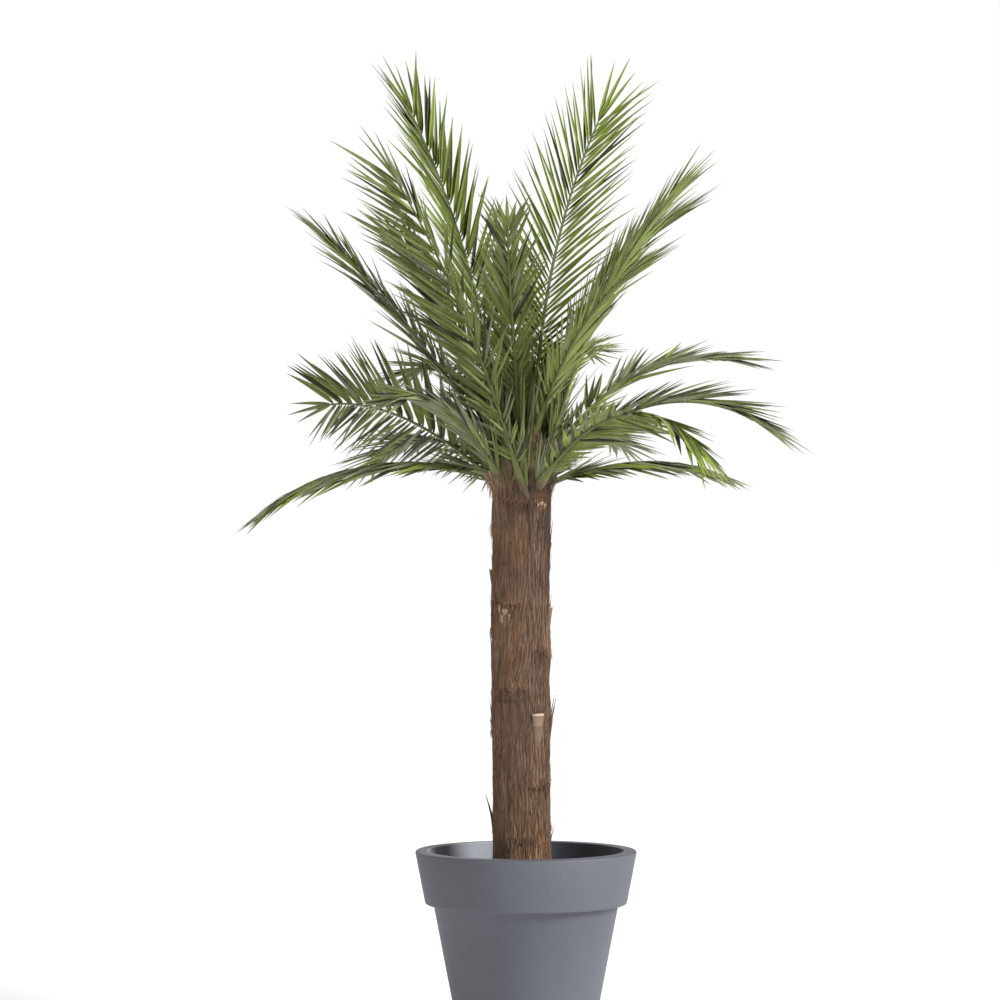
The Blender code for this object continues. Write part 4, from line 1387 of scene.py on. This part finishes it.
FRONDS = {
    "frond_left_high": Frond(146, 0, 79, 60, 1.01, 1.88, roll=-18, lift=15, leaf=0.29, spread=0.9, girth=1.1),
    "frond_left_second": Frond(
        -125, -3, 63, 45, 1.07, 1.68, foot=-88, lift=-26, leaf=0.29, green=2, stray=1.3),
    "frond_left_inner": Frond(-133, 5, 66, 34, 0.72, 1.83, lift=-8, spread=0.8, stray=1.4),
    "frond_left_far": Frond(149, 1, 52, 40, 0.84, 1.82, lift=4, leaf=0.27, spread=0.8, green=4, stray=1.6),
    "frond_left_arch": Frond(
        152, -20, 40, -4, 0.71, 1.70, roll=75, leaf=0.28, spread=1.45, green=2, girth=1.45, stray=1.2,
        thin=1),
    "frond_left_low": Frond(
        -165, 4, 12, -32, 0.66, 1.73, lift=-24, leaf=0.22, spread=0.75, green=4, girth=1.2),
    "frond_right_high": Frond(
        25, 0, 86, 64, 0.93, 1.90, foot=54, roll=62, leaf=0.30, spread=1.1, green=2, girth=0.72, stray=0.5),
    "frond_right_second": Frond(-25, 0, 75, 46, 0.84, 1.80, foot=-33, roll=2, lift=3, spread=0.8, green=3),
    "frond_right_third": Frond(14, 4, 80, 36, 0.75, 1.85, roll=10, lift=3, spread=0.8, green=4),
    "frond_right_mid": Frond(-54, 4, 62, 26, 0.66, 1.84, foot=-66, roll=15, lift=3, spread=0.85, green=3),
    "frond_right_upper_arch": Frond(
        40, -6, 46, -6, 0.80, 1.78, leaf=0.24, spread=0.85, green=4, girth=1.2, stray=1.3),
    "frond_right_arch": Frond(
        -24, 4, 44, -30, 0.69, 1.75, leaf=0.25, spread=0.8, green=4, girth=1.3, stray=1.3),
    "frond_right_low": Frond(12, 4, 20, -16, 0.50, 1.70, lift=-20, leaf=0.20, spread=0.9, green=4, girth=1.2),
    "frond_front_right": Frond(
        -58, -1, 39, -34, 0.90, 1.69, foot=-56, roll=-18, lift=-16, spread=0.8, green=3, girth=1.2),
    "frond_front_left": Frond(
        -130, 10, 52, -10, 0.54, 1.72, foot=-140, lift=-12, leaf=0.27, spread=0.5, green=4, girth=1.2),
    "frond_front_centre": Frond(
        -98, 8, 66, 30, 0.72, 1.88, leaf=0.24, spread=0.7, green=2, girth=0.9, stray=2.0),
    "frond_back_high": Frond(95, 0, 62, 8, 0.85, 1.88),
    "frond_back_right": Frond(76, -6, 52, -8, 0.76, 1.80),
    "frond_back_left": Frond(114, 6, 48, -14, 0.76, 1.79),
    "frond_back_low": Frond(94, 4, 28, -28, 0.80, 1.71, lift=5, green=2),
    "frond_back_low_right": Frond(66, -4, 32, -20, 0.66, 1.72, lift=5, green=4),
    "frond_back_low_left": Frond(124, 6, 28, -26, 0.70, 1.72, lift=5),
}
print(len(FRONDS), "fronds,", round(sum(frond.length for frond in FRONDS.values()), 2), "m of rib")

# %% [markdown]
# The rib's path is worked out in small steps along its slope. A station on it is a point
# with three directions: along the rib, up out of the blade, and to the side.

# %% Ribs as paths
RIB_STEPS = 60
RIB_SUNK = 0.028
RISE_POWER, SWING_POWER = 1.3, 1.5
FOOT_HALF_WIDTH, FOOT_HALF_DEPTH = 0.017, 0.0075
RIB_HALF_WIDTH, RIB_HALF_DEPTH, RIB_TIP = 0.0062, 0.0055, 0.0028
STALK_SHARE = 0.16


class Station(NamedTuple):
    point: Vector
    along: Vector
    up: Vector
    side: Vector


def rib_direction(frond, share):
    slope = math.radians(lerp(frond.rise, frond.dip, share**RISE_POWER))
    heading = math.radians(frond.heading + frond.swing * share**SWING_POWER)
    out = Vector((math.cos(heading), math.sin(heading), 0.0))
    along = out * math.cos(slope) + Vector((0, 0, math.sin(slope)))
    up = Vector((0, 0, math.cos(slope))) - out * math.sin(slope)
    return along, Matrix.Rotation(math.radians(frond.roll), 3, along) @ up


def rib_path(frond):
    foot = math.radians(frond.heading if frond.foot is None else frond.foot)
    radius = head_radius(frond.seat)
    path = [Vector((HEAD_AXIS + radius * math.cos(foot), radius * math.sin(foot), frond.seat))]
    for i in range(RIB_STEPS):
        along, _ = rib_direction(frond, (i + 0.5) / RIB_STEPS)
        path.append(path[-1] + along * (frond.length / RIB_STEPS))
    return path


PATHS = {name: rib_path(frond) for name, frond in FRONDS.items()}


def rib_station(name, share):
    path, frond = PATHS[name], FRONDS[name]
    low = min(int(share * RIB_STEPS), RIB_STEPS - 1)
    along, up = rib_direction(frond, share)
    return Station(path[low].lerp(path[low + 1], share * RIB_STEPS - low), along, up, along.cross(up))


def rib_size(share):
    """The rib's half width and half depth."""
    foot = 1.0 - rising(share, 0.0, STALK_SHARE)
    width = lerp(lerp(RIB_HALF_WIDTH, RIB_TIP, share), FOOT_HALF_WIDTH, foot)
    depth = lerp(lerp(RIB_HALF_DEPTH, RIB_TIP, share), FOOT_HALF_DEPTH, foot)
    return width, depth


# %% [markdown]
# ## Ribs and leaf stalks
# A rib is flat or grooved above and round below. It is broad and brown where it clasps
# the head, then olive, then green, and thins to its tip. A curve with a round bevel would
# lose the broad foot, so each rib is a skin over oval rings of the sizes above. Its
# colours are plain ones, dealt out ring by ring.

# %% Rib meshes
RIB_RINGS, RIB_SIDES = 38, 10
RIB_SHARES = [-0.06] + [(i / (RIB_RINGS - 1)) ** 1.6 for i in range(RIB_RINGS)]
RIB_FLAT, RIB_GROOVE = 0.75, 0.45  # shares of its depth
RIB_COLOURS = {  # from the foot up
    "stalk_foot": (0.140, 0.096, 0.050),
    "stalk_brown": (0.140, 0.122, 0.044),
    "stalk_olive": (0.140, 0.152, 0.040),
    "stalk_green": (0.128, 0.165, 0.036),
    "rib_green": (0.112, 0.144, 0.040),
    "rib_pale": (0.172, 0.206, 0.078),
}
STALK_BANDS = (0.012, 0.035, 0.07, 0.12)
PALE_FROM = 0.25


def rib_shade(share, upper):
    """The colour's number: four bands from the foot, then paler above than below."""
    for number, top in enumerate(STALK_BANDS):
        if share < top:
            return number
    return 5 if upper and share > PALE_FROM else 4


def rib_rings(name):
    """Oval rings, flattened and grooved on top, from inside the head to the tip."""
    for share in RIB_SHARES:
        station = rib_station(name, max(share, 0.0))
        middle = station.point - (station.along * RIB_SUNK if share < 0 else Vector())
        width, depth = rib_size(max(share, 0.0))
        for i in range(RIB_SIDES):
            turn = math.tau * i / RIB_SIDES
            rise = math.sin(turn)
            groove = RIB_GROOVE * depth * (1.0 - abs(math.cos(turn))) if rise > 0 else 0.0
            lift = rise * depth * (RIB_FLAT if rise > 0 else 1.0) - groove
            yield middle + station.side * (width * math.cos(turn)) + station.up * lift


def make_ribs():
    points, faces, shades = [], [], []
    for name in FRONDS:
        faces += tube_faces(len(points), len(RIB_SHARES), RIB_SIDES)
        points += rib_rings(name)
        for share in RIB_SHARES[:-1]:
            shades += [rib_shade(share, i < RIB_SIDES // 2) for i in range(RIB_SIDES)]
        shades += [0, 3]
    finishes = plain_finishes(RIB_COLOURS, roughness=0.55, drift=0.16, scale=45.0)
    return closed_piece("frond_ribs", points, faces, finishes, shades, crease=60)


dress(make_ribs(), "foliage", *FRONDS)

# %% [markdown]
# ## Leaflets
# Some ninety leaflets stand along each rib in two rows, half a step apart, and in bunches
# of three that share a tilt and fan a little, as on a real palm. A leaflet is a long narrow
# blade, folded into a V that opens upwards, widest near its foot and drawn out to a sharp
# tip. The solids carry a few broad ones. Here the same rule for their place, direction and
# length is followed with many more, as thin as real ones. They are joined meshes worked out
# as lists, so that each can sag under its own weight, twist a little, and give way to a rib
# or the stem in its path.

# %% One leaflet
LEAF_HALF_WIDTH = 0.0078
LEAF_THICKNESS = 0.0009
LEAF_USUAL = 0.26  # a leaflet of this length has the full half width
LEAF_STEPS = (0.0, 0.05, 0.13, 0.27, 0.44, 0.61, 0.77, 0.90)
LEAF_WIDTHS = (0.42, 0.80, 1.0, 0.98, 0.85, 0.63, 0.39, 0.18)
LEAF_FOLDS = (68, 54, 42, 35, 31, 28, 26, 24)  # degrees that each half stands above flat


def leaflet_points(root, direction, upward, length, sag, twist, girth=1.0):
    """Rings of left edge, fold, right edge and keel, and the tip, along a sagging line."""
    fall = Vector((0, 0, -1)) - direction * -direction.z
    points = []
    for t, width, fold in zip(LEAF_STEPS, LEAF_WIDTHS, LEAF_FOLDS):
        middle = root + direction * (length * t) + fall * (sag * length * t * t)
        ahead = (direction + fall * (2.0 * sag * t)).normalized()
        up = (upward - ahead * upward.dot(ahead)).normalized()
        up = Matrix.Rotation(twist * t, 3, ahead) @ up
        across = ahead.cross(up)
        half = LEAF_HALF_WIDTH * girth * width * (0.75 + 0.25 * length / LEAF_USUAL)
        reach, stand = half * math.cos(math.radians(fold)), half * math.sin(math.radians(fold))
        keel = LEAF_THICKNESS * (1.0 - 0.5 * t)
        points += [middle - across * reach + up * stand, middle, middle + across * reach + up * stand]
        points.append(middle - up * keel)
    points.append(root + direction * length + fall * (sag * length))
    return points


def leaflet_faces(first):
    """Faces with their side (0 upper, 1 under) and their places in the leaflet's own map."""
    last = 4 * len(LEAF_STEPS) - 4
    places = [(u, t) for t in LEAF_STEPS for u in (0.0, 0.5, 1.0, 0.5)] + [(0.5, 1.0)]
    runs = ((0, 1, 0), (1, 2, 0), (2, 3, 1), (3, 0, 1))
    shapes = [((r + a, r + b, r + 4 + b, r + 4 + a), side) for r in range(0, last, 4) for a, b, side in runs]
    shapes += [((last + a, last + b, last + 4), side) for a, b, side in runs]
    for corners, side in (*shapes, ((3, 2, 1, 0), 1)):
        yield [first + c for c in corners], side, [places[c] for c in corners]


# %% [markdown]
# The greens are plain colours; the second, third and fourth are one green at three strengths.
# Each frond has its own, partly painted light: a frond meant to look more brightly lit takes a
# stronger one. Nearly half of its leaflets take another, so the crown isn't even. The under
# side of each is greyer and paler. Only fine lines along the blade are drawn on top, by the
# leaflet's own map.

# %% Leaf finishes
# The second to fourth are one green at three strengths, used partly as painted light.
LEAF_GREENS = (  # upper side, under side
    ((0.052, 0.064, 0.020), (0.054, 0.058, 0.026)),
    ((0.142, 0.187, 0.036), (0.140, 0.162, 0.058)),
    ((0.214, 0.282, 0.052), (0.186, 0.224, 0.072)),
    ((0.276, 0.366, 0.062), (0.216, 0.264, 0.080)),
    ((0.228, 0.248, 0.130), (0.215, 0.218, 0.136)),
)
OTHER_GREENS = (0, 0, 1, 1, 2, 2, 3, 4)
OWN_GREEN = 0.55  # share of a frond's leaflets that keep its own green


def leaf_finish(name, colour, roughness):
    material, tree, shader, place = new_finish(name, roughness)
    veins = add_group(tree, VEINS, {"UV": place.outputs["UV"], "Lines": 10.0})
    drift = mottled(tree, place.outputs["Object"], 14.0, tone(colour, 0.82), tone(colour, 1.18))["Color"]
    pale = tone((colour[0] * 1.5 + 0.03, colour[1] * 1.4 + 0.03, colour[2] * 1.4 + 0.01))
    colour_out = mixed(tree, maths(tree, "MULTIPLY", veins["Midrib"], 0.45), drift, pale)
    feed(tree, shader.inputs["Base Color"], colour_out)
    add_bump(tree, shader, veins["Height"], distance=0.0002, strength=0.6)
    shader.inputs["Specular IOR Level"].default_value = 0.22
    return material


leaf_finishes = []
for number, (upper, under) in enumerate(LEAF_GREENS):
    leaf_finishes.append(leaf_finish(f"leaf_upper_{number + 1}", upper, roughness=0.46))
    leaf_finishes.append(leaf_finish(f"leaf_under_{number + 1}", under, roughness=0.60))
print(len(leaf_finishes), "leaf finishes")

# %% The rule for leaflets
LEAVES_A_SIDE = 46
BARE_STALK, LEAF_SPAN_END = 0.07, 0.985
LEAF_TILT, LEAF_ROLL, LEAF_TWIST = 12.0, 16.0, 22.0
FORWARD_AT_FOOT, FORWARD_AT_TIP = 46.0, 21.0
LEAF_JITTER, FORWARD_JITTER, SAG_JITTER = 6.0, 3.5, 0.02
BUNCH, BUNCH_PULL, BUNCH_FAN, BUNCH_LIFT = 3, 0.42, 3.5, 11.0
SHORTEST_LEAF, TIP_LEAF, LAST_LEAF = 0.25, 0.86, 0.80
LONG_FROM, LONG_TO = 0.42, 0.55
RIB_ROOM, STEM_ROOM = 0.010, 0.006
TRIES, SHORTER = 6, 0.13
STALK_LEAVES, STALK_GREENS = 18, (0, 1, 1, 2, 4)
THIN_ROW, THIN_GREENS = 0.55, (0, 0, 1, 4)
OTHER_RIBS = {
    name: np.array([tuple(point) for other, path in PATHS.items() if other != name for point in path[6:]])
    for name in (*FRONDS, "heart")
}


def leaf_length(frond, share):
    grown = lerp(SHORTEST_LEAF, 1.0, rising(share, 0.0, LONG_FROM))
    return frond.leaf * grown * lerp(1.0, TIP_LEAF, rising(share, LONG_TO, 1.0 - LONG_TO))


def turned_out(station, hand, forward, lift):
    """The direction that leaves the rib by one angle, to one hand, and is lifted by another."""
    out = station.side * (hand * math.cos(lift)) + station.up * math.sin(lift)
    return station.along * math.cos(forward) + out * math.sin(forward)


def leaf_direction(frond, station, share, hand, bunch, dice):
    """Which way a leaflet points; its bunch (fan, lift) shifts both of its angles."""
    forward = frond.spread * lerp(FORWARD_AT_FOOT, FORWARD_AT_TIP, share) + bunch[0]
    forward = math.radians(forward + dice.uniform(-FORWARD_JITTER, FORWARD_JITTER) * frond.stray)
    lift = math.radians(frond.lift + bunch[1] + dice.uniform(-LEAF_JITTER, LEAF_JITTER) * frond.stray)
    return turned_out(station, hand, forward, lift)


def leaf_root(station, share, hand, reach, rise):
    """Where a leaflet leaves its rib, in shares of the rib's half width and half depth."""
    width, depth = rib_size(share)
    return station.point + station.side * (hand * width * reach) + station.up * (depth * rise)


def upper_side(station, direction):
    """The way a leaflet's upper side faces: out of the blade, across its own length."""
    across = station.along - direction * station.along.dot(direction)
    if across.length < 0.1:
        across = station.side.copy()
    up = across.normalized().cross(direction)
    return up if up.dot(station.up) > 0 else -up


def in_the_way(points, name):
    """True if a leaflet's outer half meets the stem, or a rib of another frond."""
    for point in points[9::4]:
        off_stem = math.hypot(point.x - HEAD_AXIS, point.y)
        if point.z < HEAD_TOP and off_stem < head_radius(point.z) + STEM_ROOM:
            return True
    line = np.array([tuple(p) for p in points[9::4]])
    return bool((np.linalg.norm(line[:, None] - OTHER_RIBS[name][None], axis=2) < RIB_ROOM).any())


# %% Growing the leaflets of a frond
def grown_leaflet(frond, name, station, share, hand, bunch, dice):
    """The points of one leaflet, shortened until it clears what is near, or None."""
    root = leaf_root(station, share, hand, reach=0.55, rise=0.15)
    sag = max(dice.gauss(frond.sag, SAG_JITTER), 0.0)
    twist = math.radians(dice.uniform(-LEAF_TWIST, LEAF_TWIST))
    roll = math.radians(hand * LEAF_TILT + dice.uniform(-LEAF_ROLL, LEAF_ROLL))
    girth = frond.girth * (THIN_ROW if hand == frond.thin else 1.0)
    for attempt in range(TRIES):
        direction = leaf_direction(frond, station, share, hand, bunch, dice)
        up = Matrix.Rotation(roll, 3, direction) @ upper_side(station, direction)
        length = leaf_length(frond, share) * (1.0 - SHORTER * attempt) * dice.uniform(0.87, 1.02)
        points = leaflet_points(root, direction, up, length, sag, twist, girth)
        if not in_the_way(points, name):
            return points
    return None


def stalk_leaflets(name, dice):
    """Short narrow blades that lie forward along the stalk, below the true leaflets."""
    for i in range(STALK_LEAVES):
        for hand in (-1, 1):
            share = lerp(0.0, BARE_STALK + 0.02, (i + dice.uniform(0.2, 0.8)) / STALK_LEAVES)
            station = rib_station(name, share)
            forward, lift = math.radians(dice.uniform(4, 30)), math.radians(dice.uniform(-5, 40))
            direction = turned_out(station, hand, forward, lift)
            root, up = leaf_root(station, share, hand, reach=0.7, rise=0.2), upper_side(station, direction)
            length = dice.uniform(0.09, 0.23)
            points = leaflet_points(root, direction, up, length, sag=0.04, twist=0.0, girth=0.65)
            if not in_the_way(points, name):
                yield points, dice.choice(STALK_GREENS)


def frond_leaflets(name):
    frond, dice = FRONDS[name], random.Random(f"{name} leaflets")
    for i in range(LEAVES_A_SIDE):
        for hand in (-1, 1):
            middle = (i // BUNCH + 0.5) * BUNCH
            pull = BUNCH_PULL * min(frond.stray, 1.5) * (0.0 if hand == frond.thin else 1.0)
            place = lerp(i + 0.5, middle, pull) + 0.25 * hand + dice.uniform(-0.15, 0.15)
            share = min(max(lerp(BARE_STALK, LEAF_SPAN_END, place / LEAVES_A_SIDE), 0.0), 1.0)
            lift = random.Random(f"{name} {hand} {i // BUNCH}").uniform(-BUNCH_LIFT, BUNCH_LIFT) * frond.stray
            bunch = ((BUNCH // 2 - i % BUNCH) * BUNCH_FAN, lift)
            points = grown_leaflet(frond, name, rib_station(name, share), share, hand, bunch, dice)
            own = dice.choice(THIN_GREENS) if hand == frond.thin else frond.green
            if points is not None:
                yield points, own if dice.random() < OWN_GREEN else dice.choice(OTHER_GREENS)
    yield from stalk_leaflets(name, dice)
    last = rib_station(name, 1.0)
    for hand in (-0.16, 0.02, 0.19):
        direction = (last.along + last.side * hand).normalized()
        length = frond.leaf * LAST_LEAF * (1.0 - 0.9 * abs(hand))
        yield leaflet_points(last.point, direction, last.up, length, frond.sag, twist=0.0), frond.green


# %% [markdown]
# New leaves push up in the heart of the crown and are still unopened: a tuft of narrow
# blades, upright on top of the head and leaning out further down its sides.

# %% The heart of the crown
HEART_LEAVES = 110
HEART_LOW, HEART_HIGH = 1.79, 1.945
HEART_SEAT = 0.97  # share of the head's radius, so that each is rooted in it
HEART_GREENS = (1, 2, 2, 3, 4)


def heart_leaflets():
    dice = random.Random("heart")
    for _ in range(HEART_LEAVES):
        turn, height = dice.uniform(0, math.tau), dice.uniform(HEART_LOW, HEART_HIGH)
        out = Vector((math.cos(turn), math.sin(turn), 0))
        lean = lerp(0.85, 0.10, (height - HEART_LOW) / (HEART_HIGH - HEART_LOW)) * dice.uniform(0.5, 1.3)
        root = Vector((HEAD_AXIS, 0, height)) + out * (HEART_SEAT * head_radius(height))
        direction = out * math.sin(lean) + Vector((0, 0, math.cos(lean)))
        length, twist = dice.uniform(0.12, 0.28), math.radians(dice.uniform(-30, 30))
        points = leaflet_points(root, direction, -out, length, sag=0.03, twist=twist, girth=0.75)
        if not in_the_way(points, "heart"):
            yield points, dice.choice(HEART_GREENS)


# %% Leaflets joined into pieces
def make_leaflets(piece, leaflets):
    points, faces, shades, places, count = [], [], [], [], 0
    for leaf_points, green in leaflets:
        for face, side, corners in leaflet_faces(len(points)):
            faces.append(face)
            shades.append(2 * green + side)
            places += corners
        points += leaf_points
        count += 1
    obj = mesh_piece(piece, points, faces, leaf_finishes, shades, crease=30)
    layer = obj.data.uv_layers.new(name="UVMap")
    layer.data.foreach_set("uv", np.asarray(places, np.float32).ravel())
    point_outwards(obj)
    print(piece, "has", count, "leaflets")
    return obj


for side in ("left", "right", "front", "back"):
    names = [name for name in FRONDS if name.startswith(f"frond_{side}_")]
    leaflets = (leaflet for name in names for leaflet in frond_leaflets(name))
    dress(make_leaflets(f"leaflets_{side}", leaflets), "foliage", *names)
dress(make_leaflets("leaflets_heart", heart_leaflets()), "foliage")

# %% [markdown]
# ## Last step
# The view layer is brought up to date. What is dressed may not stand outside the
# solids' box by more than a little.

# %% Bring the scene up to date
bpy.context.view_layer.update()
